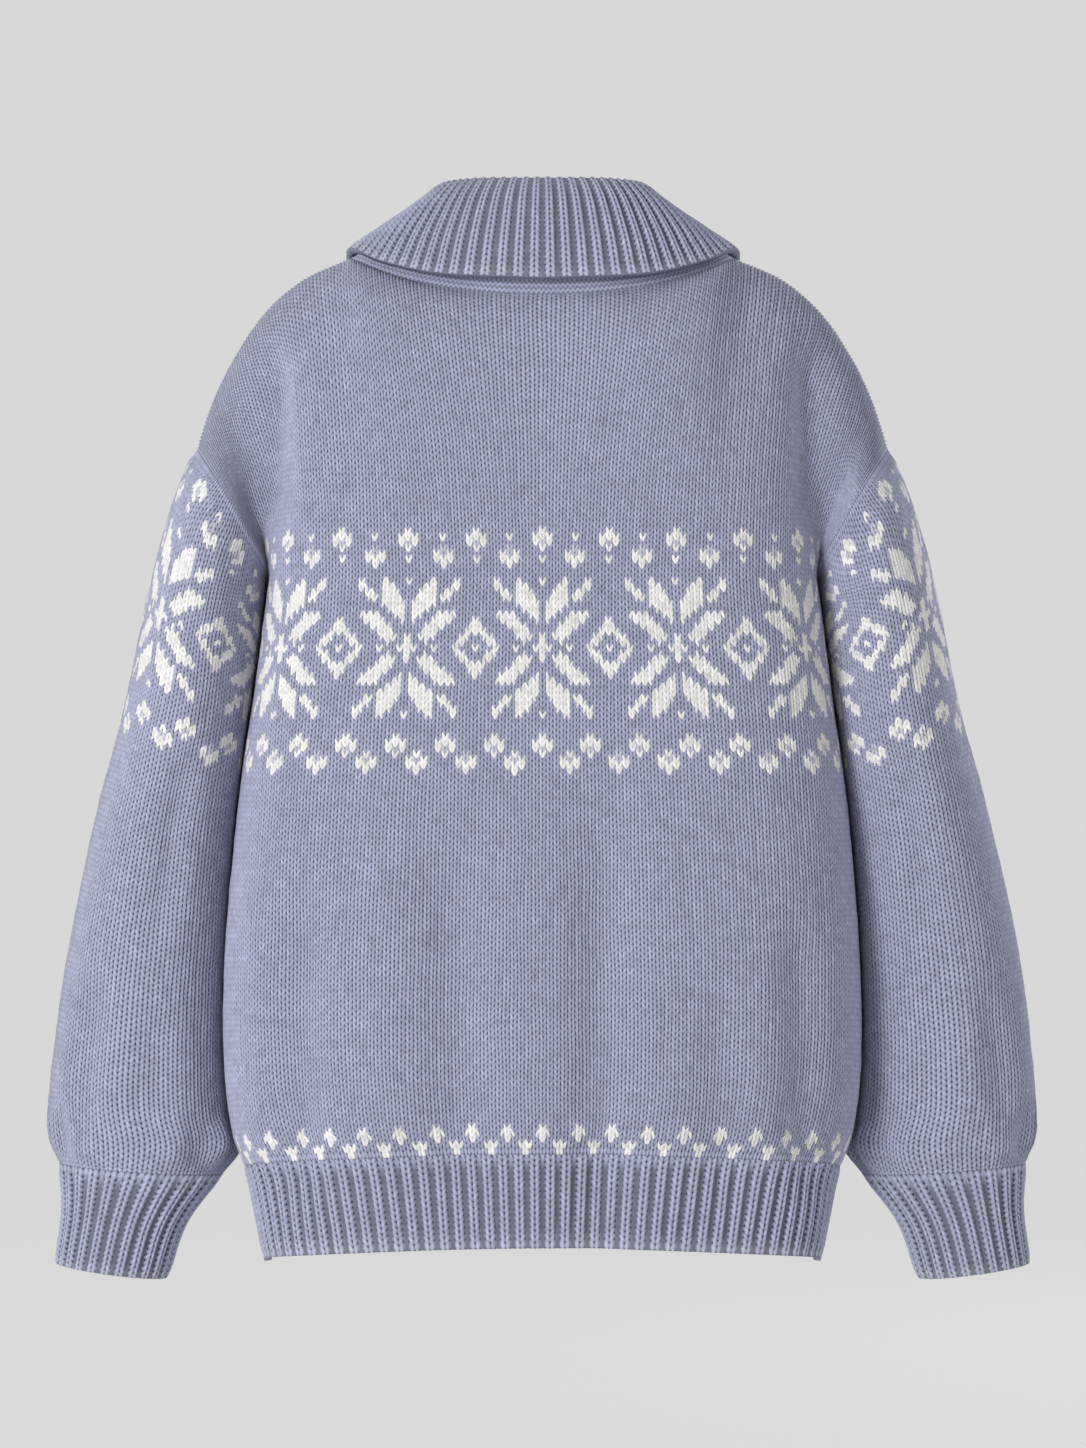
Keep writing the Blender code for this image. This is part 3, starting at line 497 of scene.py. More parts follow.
def shell(name, outer, hidden, steps, facing, at, up, yarn, looks, closed=False):
    """A closed cloth: a fine outer face, an inner face that keeps every so many rows and
    columns, and a strip round both. Its map "stitch" counts wales across and courses up."""
    rows, columns = outer.shape[:2]
    spans = columns if closed else columns - 1
    kept_rows, kept_columns = kept_numbers(rows - 1, steps[0]), kept_numbers(spans, steps[1])
    inner = hidden[np.ix_(kept_rows, kept_columns[:-1] if closed else kept_columns)]
    number = np.arange(rows * columns).reshape(rows, columns)
    behind = rows * columns + np.arange(inner[..., 0].size).reshape(inner.shape[:2])
    if closed:
        number = np.hstack([number, number[:, :1]])
        behind = np.hstack([behind, behind[:, :1]])
    place = np.stack(np.meshgrid(at, up), -1)
    share = np.stack(np.meshgrid(np.arange(spans + 1) / spans, np.arange(rows) / (rows - 1)), -1)
    kept = np.ix_(kept_rows, kept_columns)
    outer_chart = share * OUTER_CHART[0] + OUTER_CHART[1]
    inner_chart = share[kept] * INNER_CHART[0] + INNER_CHART[1]

    def both_sides(fine, coarse):
        return [quads(fine).reshape(-1, 2), quads(coarse)[:, :, ::-1].reshape(-1, 2)]

    faces = quads(number).reshape(-1, 4).tolist() + quads(behind).reshape(-1, 4)[:, ::-1].tolist()
    stitch, chart = both_sides(place, place[kept]), both_sides(outer_chart, inner_chart)
    rims = []
    for one in range(len(kept_columns) - 1):
        run = list(range(kept_columns[one], kept_columns[one + 1] + 1))
        rims.append(([(0, c) for c in run[::-1]], [(0, one), (0, one + 1)]))
        rims.append(([(rows - 1, c) for c in run], [(-1, one + 1), (-1, one)]))
    for one in range(0 if closed else len(kept_rows) - 1):
        run = list(range(kept_rows[one], kept_rows[one + 1] + 1))
        rims.append(([(r, 0) for r in run], [(one + 1, 0), (one, 0)]))
        rims.append(([(r, spans) for r in run[::-1]], [(one, -1), (one + 1, -1)]))
    for count, (near, far) in enumerate(rims):
        faces.append([int(number[key]) for key in near] + [int(behind[key]) for key in far])
        stitch.append(np.array([place[key] for key in near] + [place[kept][key] for key in far]))
        left, right = (count + RIM_GAP) / len(rims), (count + 1 - RIM_GAP) / len(rims)
        foot = [(x, RIM_CHART[0]) for x in np.linspace(left, right, len(near))]
        chart.append(np.array(foot + [(right, RIM_CHART[1]), (left, RIM_CHART[1])]))
    stitch, chart = np.concatenate(stitch), np.concatenate(chart)
    if facing > 0:
        sizes = [len(face) for face in faces]
        starts = np.concatenate(([0], np.cumsum(sizes)))
        turned = np.concatenate([np.arange(b - 1, a - 1, -1) for a, b in zip(starts, starts[1:])])
        stitch, chart = stitch[turned], chart[turned]
        faces = [face[::-1] for face in faces]
    mesh = bpy.data.meshes.new(name)
    points = np.concatenate([outer.reshape(-1, 3), inner.reshape(-1, 3)])
    mesh.from_pydata(points.tolist(), [], faces)
    for layer, values in (("OFBake", chart), ("stitch", stitch)):
        made = mesh.uv_layers.new(name=layer)
        made.uv.foreach_set("vector", values.astype(np.float32).ravel())
    outside = (rows - 1) * spans
    source = np.random.default_rng(len(name) * TONE_SEED + rows)
    tone = source.normal(0, 1, (rows, 2 * spans))
    wale = np.round(at[:-1] - at[0] + LEG_OFFSET).astype(int)
    for layer, values in (("yarn", yarn), ("tone", tone[: rows - 1, wale])):
        made = mesh.attributes.new(layer, "FLOAT", "FACE")
        flat = np.zeros(len(faces), np.float32)
        flat[:outside] = np.broadcast_to(values, (rows - 1, spans)).ravel()
        made.data.foreach_set("value", flat)
    which = np.arange(len(faces)) >= outside
    mesh.polygons.foreach_set("material_index", which.astype(np.int32))
    mesh.shade_smooth()
    on_rim = np.zeros(len(points), bool)
    on_rim[number[[0, -1]]] = True
    if not closed:
        on_rim[number[:, [0, -1]]] = True
    ends = np.empty(len(mesh.edges) * 2, np.int32)
    mesh.edges.foreach_get("vertices", ends)
    crease = mesh.attributes.new("sharp_edge", "BOOLEAN", "EDGE")
    crease.data.foreach_set("value", on_rim[ends.reshape(-1, 2)].all(1))
    for look in looks:
        mesh.materials.append(look)
    return placed(name, mesh)


def begun_look(name, finish):
    """A new material with this finish, and a way to add and link its nodes."""
    look = bpy.data.materials.new(name)
    look.use_nodes = True
    nodes, links = look.node_tree.nodes, look.node_tree.links

    def put(kind, values, **settings):
        own = kind == "Principled BSDF"
        node = nodes[kind] if own else nodes.new("ShaderNode" + kind)
        for key, value in settings.items():
            setattr(node, key, value)
        for key, value in values.items():
            if isinstance(value, bpy.types.NodeSocket):
                links.new(value, node.inputs[key])
            else:
                node.inputs[key].default_value = value
        return node

    put("Principled BSDF", finish)
    return look, put


def wool(name, blue, white, purl=False, groove=False):
    """Thick woollen yarn. The map "stitch" gives the height of each leg of a stitch and the
    shade painted into its colour in the hollows between the stitches."""
    look, put = begun_look(name, WOOL_FINISH)

    def math_of(kind, *values):
        return put("Math", dict(enumerate(values)), operation=kind).outputs[0]

    def scaled(value, amount, onto):
        return math_of("MULTIPLY_ADD", value, amount, onto)

    def wave_of(kind, value, turns):
        return math_of(kind, math_of("MULTIPLY", value, turns * math.pi))

    def mixed(how, amount, first, second):
        values = {0: amount, 6: first, 7: second}
        return put("Mix", values, data_type="RGBA", blend_type=how).outputs[2]

    def smooth_range(value, low, high):
        values = {0: value, 1: low, 2: high}
        return put("MapRange", values, interpolation_type="SMOOTHSTEP").outputs[0]

    def attribute(layer):
        return put("Attribute", {}, attribute_name=layer).outputs["Fac"]

    def noise(scale, detail):
        place = put("TexCoord", {}).outputs["Object"]
        values = {"Vector": place, "Scale": scale, "Detail": detail, "Roughness": FIBRE_ROUGH}
        return put("TexNoise", values).outputs["Fac"]

    mapped = put("UVMap", {}, uv_map="stitch").outputs[0]
    wale, course = put("SeparateXYZ", {0: mapped}).outputs[:2]
    yarn = attribute("yarn")
    if purl:
        # Painted shade in the hollows between the bumps of the purl side.
        sway = math_of("MULTIPLY", wave_of("SINE", wale, 2), PURL_SWAY)
        bead = wave_of("SINE", math_of("ADD", course, sway), 1)
        relief = math_of("ABSOLUTE", bead)
        painted_shade = math_of("MULTIPLY", math_of("SUBTRACT", 1.0, relief), PURL_PAINTED_SHADE)
    else:
        # Painted shade in the hollows: along the line between two legs, across the joint between
        # courses, deepest where they cross.
        leg = wave_of("COSINE", wale, 1) if groove else wave_of("SINE", wale, 2)
        leg = math_of("ABSOLUTE", leg)
        line = math_of("SUBTRACT", 1.0, math_of("POWER", leg, STRAND_ROUND))
        joint = math_of("SUBTRACT", 1.0, math_of("ABSOLUTE", wave_of("SINE", course, 1)))
        dot = math_of("MULTIPLY", line, scaled(joint, DOT_PAINTED_SHADE, LINE_PAINTED_SHADE))
        painted_shade = scaled(joint, JOINT_PAINTED_SHADE, dot)
        relief = math_of("SUBTRACT", 1.0, painted_shade)
    # The off-white yarn keeps only a share of the painted shade.
    painted_shade = math_of("MULTIPLY", painted_shade, scaled(yarn, WHITE_SHADE_KEPT - 1, 1.0))
    if groove:
        # Painted shade in the rib's sunken purl wales, fading in over the first courses from course
        # 0.
        begun = smooth_range(math_of("ABSOLUTE", course), 0.0, GROOVE_BEGUN)
        deep = smooth_range(wave_of("COSINE", wale, 2 / 3), *GROOVE_EDGE)
        deep = math_of("MULTIPLY", math_of("MULTIPLY", deep, GROOVE_PAINTED_SHADE), begun)
        painted_shade = math_of("MAXIMUM", painted_shade, deep)
    twist = scaled(wale, TWIST_ACROSS, math_of("MULTIPLY", course, TWIST_UP))
    height = scaled(wave_of("SINE", twist, 2), PLY_HIGH, relief)
    height = scaled(noise(FIBRE_FINE, FIBRE_DETAIL), FIBRE_HIGH, height)
    bump = put("Bump", {**WOOL_RELIEF, "Height": height})

    toned = scaled(noise(SPECKS, TONE_DETAIL), SPECK_TONE, 1 - SPECK_TONE / 2)
    toned = math_of("SUBTRACT", toned, CLOUD_TONE / 2)
    toned = scaled(noise(CLOUDS, TONE_DETAIL), CLOUD_TONE, toned)
    toned = scaled(attribute("tone"), STITCH_TONE, toned)
    # The painted shade and the yarn's own uneven tone darken its colour together.
    shade = math_of("MULTIPLY", math_of("SUBTRACT", 1.0, painted_shade), toned)
    lit = put("CombineColor", {0: shade, 1: shade, 2: shade}).outputs[0]
    colour = mixed("MIX", yarn, (*blue, 1.0), (*white, 1.0))
    colour = mixed("MULTIPLY", 1.0, colour, lit)
    put("Principled BSDF", {"Base Color": colour, "Normal": bump.outputs["Normal"]})
    return look


knit_looks = [
    wool("blue_and_white_knit", BLUE, WHITE),
    wool("knit_wrong_side", BLUE, WHITE, purl=True),
]


def knit_panel(name, base, facing, at, first_course, wale_shift, closed=False):
    """A panel of stocking stitch on a plain face, with the chart knitted in."""
    lines = np.append(at, at[-1] + 1 / PER_WALE) if closed else at
    up = first_course + np.arange(len(base)) * (-1 if closed else 1)
    leg = np.floor(2 * (lines[:-1] + LEG_OFFSET)) / 2 + 0.25 - wale_shift
    course = np.minimum(up[:-1], up[1:])
    yarn = charted(leg[None], course[:, None], not closed)
    outer, hidden = stitched(base, facing, at, closed), lining_of(base, facing, closed)
    return shell(name, outer, hidden, KNIT_STEPS, facing, lines, up, yarn, knit_looks, closed)


# Columns of points, counted in wales from the middle of the back
back_at = np.arange(-HALF_WALES * PER_WALE, HALF_WALES * PER_WALE + 1) / PER_WALE
back_base = panel_face(BACK, back_at / HALF_WALES)
back = knit_panel("back_knit", back_base, 1, back_at, 0, 0)
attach(back, "cardigan")
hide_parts("back_panel")

# Fronts: the same knit in two lengths, split by the zip in the middle. Each is sewn to the
# back at the shoulder and the side, and its edge is turned against the zip's tape.
ZIP_HALF = 0.0070
ZIP_WALE = 1.5
EDGE_EASE = 5
FRONT_STAR = 12
front_at = {RIGHT: back_at[back_at >= ZIP_WALE]}
front_at[LEFT] = -front_at[RIGHT][::-1]
front_base = {}
for side, name in ((RIGHT, "front_right"), (LEFT, "front_left")):
    at = front_at[side]
    base = panel_face(FRONT, at / HALF_WALES)
    edge = 0 if side == RIGHT else -1
    short = side * ZIP_HALF - base[:, edge, 0]
    base[..., 0] += short[:, None] * np.exp(-(np.abs(at) - ZIP_WALE) / EDGE_EASE)[None]
    # The side edge stays on the back's own line.
    base[:, -1 - edge, 0] = back_base[:, -1 if side == RIGHT else 0, 0]
    front_base[side] = base
    piece = knit_panel(name + "_knit", base, -1, at, 0, side * FRONT_STAR)
    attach(piece, "cardigan")
    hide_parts(name)

# Sleeves: two tubes of the same knit, worked from the dropped armhole down to the cuff and
# closed by one seam on the inside of the arm. Their stars lie level with the body's.
SLEEVE_WALES = 80
SLEEVE_COURSES = 124
SLEEVE_TOP_COURSE = 114
SLEEVE_STAR = 26
WALE_EASE = 0.55

# Rings down the arm: x and z of the outer point, of the inner point, half depth, how far forward
SLEEVE = [
    (0.244, -0.135, 0.1942, -0.216, 0.076, 0.000),
    (0.258, -0.177, 0.1965, -0.234, 0.078, 0.000),
    (0.269, -0.222, 0.1988, -0.256, 0.077, 0.000),
    (0.277, -0.262, 0.2008, -0.292, 0.075, 0.001),
    (0.286, -0.300, 0.2055, -0.330, 0.072, 0.002),
    (0.300, -0.350, 0.2112, -0.378, 0.067, 0.005),
    (0.313, -0.405, 0.2155, -0.431, 0.062, 0.008),
    (0.324, -0.460, 0.2178, -0.484, 0.058, 0.012),
    (0.332, -0.512, 0.2178, -0.533, 0.056, 0.015),
    (0.336, -0.552, 0.2152, -0.566, 0.055, 0.018),
    (0.334, -0.580, 0.2110, -0.588, 0.053, 0.020),
    (0.329, -0.598, 0.2190, -0.605, 0.047, 0.021),
]
SLEEVE_FOLDS = [
    (BACK, 0.236, -0.300, 0.262, -0.455, 0.006, 0.012),
    (BACK, 0.300, -0.455, 0.318, -0.610, 0.006, 0.013),
    (BACK, 0.262, -0.480, 0.262, -0.610, 0.004, 0.013),
    (FRONT, 0.240, -0.260, 0.280, -0.400, 0.007, 0.013),
    (FRONT, 0.262, -0.430, 0.300, -0.560, 0.006, 0.013),
]

# Gathers over the cuff, in courses up from it
GATHER = 0.0028
GATHER_DEEPEST, GATHER_END = 4, 15
GATHER_WAVES, GATHER_UNEVEN = 13, 0.35
CUFF_HELD = 5

# How the sleeve settles against the body, and how many of its end courses stay where they are
HANG_ROWS = (6, 8)
HANG_CLEAR = 0.0031
HANG_FIRST = 0.0040
HANG_REACH = 0.0180
HANG_SOFT = 14
INNER_SHARE = 0.14


def ring(row, shares, side):
    """One ring of a sleeve, from its inner point round by the back to its outer point."""
    outer_x, outer_z, inner_x, inner_z, depth, forward = row
    outer = np.array([outer_x * side, -forward, outer_z])
    inner = np.array([inner_x * side, -forward, inner_z])
    turn = 2 * math.pi * shares
    points = (outer + inner) / 2 - np.cos(turn)[:, None] * (outer - inner) / 2
    points[:, 1] += depth * np.sin(turn)
    return points


def sleeve_face(side, shares):
    """The plain outer face of a sleeve, from the armhole's own line to the cuff."""
    edge = -1 if side == RIGHT else 0
    height = 2 * np.minimum(shares, 1 - shares) * UPPER_COURSES
    behind, before = (
        read_off(panel[LOWER_COURSES:, edge], np.arange(UPPER_COURSES + 1), height)
        for panel in (back_base, front_base[side])
    )
    armhole = np.where(shares[:, None] <= 0.5, behind, before)
    round_it = shares - WALE_EASE * np.sin(4 * math.pi * shares) / (4 * math.pi)
    rings = np.array([armhole] + [ring(row, round_it, side) for row in SLEEVE])
    grid = lofted(rings, length_along(rings.mean(1)), SLEEVE_COURSES)
    up = np.arange(SLEEVE_COURSES + 1)[::-1]
    gather = step_up(up, 0, GATHER_DEEPEST) * (1 - step_up(up, GATHER_DEEPEST, GATHER_END)) * GATHER
    uneven = GATHER_UNEVEN * np.sin(4 * math.pi * shares)
    waves = np.cos(2 * math.pi * (GATHER_WAVES * shares + uneven))
    centre = grid.mean(1)[:, None]
    grid = grid + unit(grid - centre) * (gather[:, None] * waves)[..., None]
    folded = pressed(grid, -side, SLEEVE_FOLDS, True, side)
    hold = step_up(up, 0, CUFF_HELD)[:, None, None]
    return grid + (folded - grid) * hold


def as_surface(grids):
    """The outer faces of the panels as one surface to measure from."""
    points, faces = [], []
    for grid, facing in grids:
        number = len(points) + np.arange(grid[..., 0].size).reshape(grid.shape[:2])
        points += grid.reshape(-1, 3).tolist()
        faces += quads(number)[:, :, ::-facing].reshape(-1, 4).tolist()
    return BVHTree.FromPolygons(points, faces)


def laid_against(grid, body, shares):
    """The sleeve's face where it hangs near the body, eased over to rest against it."""
    settled = grid.copy()
    rows = np.arange(len(grid))
    hold = step_up(rows, 1, HANG_ROWS[0]) * step_up(rows[::-1], 1, HANG_ROWS[1])
    inner = np.exp(-((np.minimum(shares, 1 - shares) / INNER_SHARE) ** 2))
    for row, share in enumerate(hold):
        found, _, _, far = body.find_nearest(tuple(grid[row, 0]))
        pull = (np.array(found) - grid[row, 0]) * share * max(0.0, 1 - HANG_FIRST / max(far, 1e-6))
        settled[row] += inner[:, None] * pull
    for row, column in np.ndindex(grid.shape[:2]):
        point = settled[row, column]
        found, _, _, far = body.find_nearest(tuple(point), HANG_REACH)
        if found is not None and far > HANG_CLEAR:
            near = hold[row] * (1 - step_up(far, HANG_CLEAR, HANG_REACH))
            settled[row, column] += (np.array(found) - point) * near * (1 - HANG_CLEAR / far)
    weights = bell(HANG_SOFT, HANG_SOFT / 2)
    return grid + blurred(settled - grid, 1, weights / weights.sum(), "wrap")


sleeve_at = np.arange(SLEEVE_WALES * PER_WALE) / PER_WALE
sleeve_shares = sleeve_at / SLEEVE_WALES
body_faces = as_surface([(back_base, 1), (front_base[LEFT], -1), (front_base[RIGHT], -1)])
for side, name in ((RIGHT, "sleeve_right"), (LEFT, "sleeve_left")):
    base = laid_against(sleeve_face(side, sleeve_shares), body_faces, sleeve_shares)
    piece = knit_panel(
        name + "_knit", base, -side, sleeve_at, SLEEVE_TOP_COURSE, SLEEVE_STAR, closed=True
    )
    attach(piece, "cardigan")
    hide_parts(name)

# Hem: a band of rib in three lengths, two knit wales and one purl, knitted on a finer needle
# so that it pulls the body in. It ends in a plain cast-on edge.
HEM_BOTTOM = -0.646
HEM_RIB = 0.0102
HEM_COURSES = 16
JOIN_COURSES = 4
HEM_PROBES = 61
HEM_EDGE_EASE = 12

# The relief across a rib, in units of which three make a rib: place, height, climb
RIB_AT = np.array([0.0, 0.5, 0.75, 1.0, 1.25, 1.5, 1.75, 2.0, 2.25, 2.5])
RIB_HIGH = np.array([-1.3, -0.1, 1.5, 2.2, 1.9, 1.0, 1.9, 2.2, 1.5, -0.1]) / 1000
RIB_CLIMB = np.array([0.0, 0.8, 0.6, 0.4, 0.2, 0.0, 0.2, 0.4, 0.6, 0.8])

# End rows of a band: the share of the ribs' height, and how far the whole row is lifted
CAST_ON = [(0.15, 0.0009), (0.30, 0.0010), (0.75, 0.0004)]
SEAM_ROWS = [(0.25, PROUD), (0.7, PROUD / 2)]
# Painted highlight along the lifted cast-on edge: its rows are mixed this far towards the off-white
# yarn
EDGE_HIGHLIGHT = 0.10
RIB_STEPS = (2, 5)
CROWN_LEVEL = 0.0010
CROWN_SOFT = 0.75
CROWN_REACH = 3
RIB_BLUE = (0.485, 0.510, 0.690)
rib_looks = [
    wool("blue_rib", RIB_BLUE, WHITE, groove=True),
    wool("rib_wrong_side", RIB_BLUE, WHITE, purl=True),
]


def rib_places(ribs, closed=False):
    """Where the columns of points of a rib band lie, three units to a rib."""
    places = (3 * np.arange(ribs)[:, None] + RIB_AT[None]).ravel()
    return places if closed else np.append(places, 3.0 * ribs)


def end_rows(first, last):
    """The end rows of a band by number, the last ones counted back from its far end."""
    return {**dict(enumerate(first)), **{-1 - row: end for row, end in enumerate(last)}}


def rib_piece(name, base, hidden, facing, places, ends, seam=0, closed=False, crown=None):
    """A rib band on a plain face, with the ribs eased in its end rows and over its crown."""
    rows, columns = base.shape[:2]
    place = np.arange(columns) % len(RIB_AT)
    high = np.tile(RIB_HIGH[place], (rows, 1))
    climb = np.tile(RIB_CLIMB[place], (rows, 1))
    climb[0], climb[-1] = 0, 0
    if crown is not None:
        near = np.exp(-(((np.arange(rows) - crown) / CROWN_REACH) ** 2))[:, None]
        high -= (high - CROWN_LEVEL) * CROWN_SOFT * near
    for row, (share, lift) in ends.items():
        high[row] = high[row] * share + lift
    if not closed:
        high[:, 0], high[:, -1] = 0, 0
    climbed = base.copy()
    climbed[:-1] += climb[:-1, :, None] * (base[1:] - base[:-1])
    outer = climbed + unit(facings(base, facing, closed)) * high[..., None]
    lines = np.append(places, places[-1] + 0.5) if closed else places
    up = np.arange(rows) - seam
    edge = np.zeros((rows - 1, 1))
    # Painted highlight: the lifted rows of the cast-on edge are mixed a little towards the
    # off-white yarn.
    edge[[row for row in ends if ends[row][1] > PROUD]] = EDGE_HIGHLIGHT
    return shell(name, outer, hidden, RIB_STEPS, facing, lines, up, edge, rib_looks, closed)


hem_base = {}
zip_share = ZIP_WALE / HALF_WALES
for name, side, first, last in (
    ("hem_back", BACK, -1.0, 1.0),
    ("hem_front_left", FRONT, -1.0, -zip_share),
    ("hem_front_right", FRONT, zip_share, 1.0),
):
    probe = level(side, np.linspace(first, last, HEM_PROBES), (RIB_TOP + HEM_BOTTOM) / 2)
    places = rib_places(round(length_along(probe)[-1] / HEM_RIB))
    across = first + (last - first) * places / places[-1]
    heights = np.linspace(HEM_BOTTOM, RIB_TOP, HEM_COURSES + 1)
    base = np.stack([level(side, across, height) for height in heights])
    base = pressed(base, side, BODY_FOLDS)
    if side == FRONT:
        edge = 0 if first > 0 else -1
        short = np.sign(last + first) * ZIP_HALF - base[:, edge, 0]
        near = np.exp(-(np.abs(across) - zip_share) * HEM_EDGE_EASE)
        base[..., 0] += short[:, None] * near[None]
    hand = RIGHT if first > 0 else LEFT
    panel, at = (back_base, back_at) if side == BACK else (front_base[hand], front_at[hand])
    joined = read_off(panel[0], at / HALF_WALES, across)
    share = step_up(np.arange(HEM_COURSES + 1), HEM_COURSES - JOIN_COURSES, HEM_COURSES)
    base = base + (joined - base[-1])[None] * share[:, None, None]
    hem_base[name] = base
    hidden = lining_of(base, side)
    ends = end_rows(CAST_ON, SEAM_ROWS)
    piece = rib_piece(name + "_rib", base, hidden, side, places, ends, seam=HEM_COURSES)
    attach(piece, "cardigan")
    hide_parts(name)

# Cuffs: two short tubes of the same rib, knitted on from the foot of each sleeve. They draw it
# in at the wrist and end in a plain edge.
CUFF_RIB = 0.0102
CUFF_COURSES = 19

# Rings down the cuff, in the columns of SLEEVE
CUFF = [
    SLEEVE[-1],
    (0.327, -0.628, 0.2430, -0.636, 0.039, 0.023),
    (0.332, -0.667, 0.2580, -0.677, 0.036, 0.026),
]
for side, name in ((RIGHT, "cuff_right"), (LEFT, "cuff_left")):
    outer_x, outer_z, inner_x, inner_z, depth, _ = CUFF[1]
    half = math.hypot(outer_x - inner_x, outer_z - inner_z) / 2
    ribs = round(math.pi * (half + depth) / CUFF_RIB)
    places = rib_places(ribs, closed=True)
    rings = np.array([ring(row, places / (3 * ribs), side) for row in CUFF])
    base = lofted(rings, length_along(rings.mean(1)), CUFF_COURSES)
    hidden = lining_of(base, -side, True)
    ends = end_rows(SEAM_ROWS, CAST_ON)
    piece = rib_piece(name + "_rib", base, hidden, -side, places, ends, closed=True)
    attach(piece, "cardigan")
    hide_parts(name)

# Collar: one long band of rib, sewn to the neckline, which stands up and folds over outwards.
# Its two ends stand on each side of the zip.
COLLAR_RIB = 0.0100
COLLAR_COURSES = 40
COLLAR_CLEAR = 0.0070
ROLL_CLEAR = 0.0035
COLLAR_LAYERS = 0.0088
COLLAR_CROWN = 0.0040
COLLAR_ROLL = 0.0040
LIFT_SPREAD = 7
LIFT_ROUNDS = 3
FOOT_ROWS = [(0.2 * row, 0.0) for row in range(5)]

# Lines round the neck: share of the half length, then x, y and z of the fold and of the edge
COLLAR = [
    (0.00, 0.000, 0.050, 0.064, 0.000, 0.082, -0.001),
    (0.20, 0.044, 0.042, 0.064, 0.072, 0.072, 0.003),
    (0.38, 0.066, 0.016, 0.062, 0.116, 0.037, 0.015),
    (0.50, 0.070, -0.010, 0.056, 0.131, -0.002, 0.020),
    (0.66, 0.062, -0.044, 0.030, 0.128, -0.064, -0.006),
    (0.83, 0.042, -0.068, -0.004, 0.103, -0.106, -0.058),
    (1.00, 0.014, -0.081, -0.034, 0.054, -0.112, -0.116),
]


def lifted(points, surface, clear):
    """The points moved off a surface where they lie nearer to it than they should."""
    moved = points.copy()
    reach = np.hanning(2 * LIFT_SPREAD + 1)
    for _ in range(LIFT_ROUNDS):
        shift = np.zeros_like(moved)
        for number, point in enumerate(moved):
            found, normal, _, far = surface.find_nearest(tuple(point))
            above = far if (point - np.array(found)) @ np.array(normal) > 0 else -far
            shift[number] = np.array(normal) * max(0.0, clear - above)
        moved += blurred(shift, 0, reach / reach.sum(), "edge")
    return moved


neck_wale = math.floor(NECK_SHARE * HALF_WALES * PER_WALE) / PER_WALE
back_neck = (back_at >= 0) & (back_at <= neck_wale)
front_neck = front_at[RIGHT] <= neck_wale
outside, inside = [], []
for grid, facing, chosen in (
    (back_base, 1, back_neck),
    (front_base[RIGHT], -1, front_neck),
):
    outside.append(grid[-1][chosen][::facing])
    inside.append(lining_of(grid, facing)[-1][chosen][::facing])
outside, inside = np.concatenate(outside), np.concatenate(inside)
neck_run = length_along(outside)
ribs = round(2 * neck_run[-1] / COLLAR_RIB)
shares = np.linspace(-1, 1, 3 * ribs + 1)


def round_the_neck(line):
    """A neckline from one side of the zip round to the other."""
    points = read_off(line, neck_run / neck_run[-1], np.abs(shares))
    points[:, 0] *= np.sign(shares)
    points[0, 0], points[-1, 0] = -ZIP_HALF, ZIP_HALF
    return points


foot, foot_back = round_the_neck(inside), round_the_neck(outside)
rows = smooth(COLLAR, np.abs(shares))
rows[:, [0, 3]] *= np.sign(shares)[:, None]
fold, edge = rows[:, :3], rows[:, 3:]
outward = unit(((edge - foot) + (foot - foot.mean(0))) * [1.0, 1.0, 0.0])
crown = fold + np.array([0, 0, COLLAR_CROWN]) + outward * COLLAR_LAYERS / 2
fall = fold + outward * COLLAR_LAYERS
roll = (fall + edge) / 2 + outward * COLLAR_ROLL
roll = lifted(roll, body_faces, COLLAR_CLEAR + ROLL_CLEAR)
edge = lifted(edge, body_faces, COLLAR_CLEAR)
places = rib_places(ribs)
*stack, foot_back = (
    read_off(line, np.arange(len(line)), places)
    for line in (foot, fold, crown, fall, roll, edge, foot_back)
)
stack = np.array(stack)
run = length_along(stack)
base = lofted(stack, run, COLLAR_COURSES)
hidden = lining_of(base, -1)
hidden[0] = foot_back
ends = end_rows(FOOT_ROWS, CAST_ON)
crown_row = COLLAR_COURSES * run[2] / run[-1]
collar = rib_piece("collar_rib", base, hidden, -1, places, ends, crown=crown_row)
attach(collar, "cardigan")
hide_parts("collar")

# Zip tapes: two woven polyester ribbons, which carry the teeth. Each is sewn behind the edge
# of its front and of the hem below it.
TAPE_GAP = 0.0004
TAPE_WALL = 0.0010
TAPE_SHORT = 0.0040
TAPE_ACROSS = np.array([0.0033, 0.0050, 0.0070, 0.0120, 0.0170])
TAPE_BLUE = (0.120, 0.130, 0.185)
TAPE_FINISH = {"Roughness": 0.75, "Sheen Weight": 0.15}
WEAVE_FINE, WEAVE_UNEVEN = 900.0, 0.6
WEAVE_TONES = (0.7, 1.2)
WEAVE_RELIEF = {"Strength": 0.6, "Distance": 0.0002}


def zip_line():
    """Up the zip: the points behind the right front under each width, and the way out."""
    lines, out = [], []
    for grid in (hem_base["hem_front_right"][:-1], front_base[RIGHT]):
        normal = unit(facings(grid, -1))
        for row, back_face in enumerate(grid - normal * CLOTH):
            line = read_off(back_face, back_face[:, 0], np.maximum(TAPE_ACROSS, ZIP_HALF))
            line[:, 0] = TAPE_ACROSS
            lines.append(line)
            out.append(normal[row, 0] * [0, 1, 1])
    lines, out = np.array(lines), unit(np.array(out))
    lines[-1] += unit(lines[-2] - lines[-1]) * TAPE_SHORT
    return lines, out


def two_toned(put, mask, colour, tones):
    """A colour that goes from its darker to its lighter tone with a mask."""
    ramp = put("ValToRGB", {"Fac": mask})
    for element, tone in zip(ramp.color_ramp.elements, tones):
        element.color = (*[tone * value for value in colour], 1.0)
    return ramp.outputs["Color"]


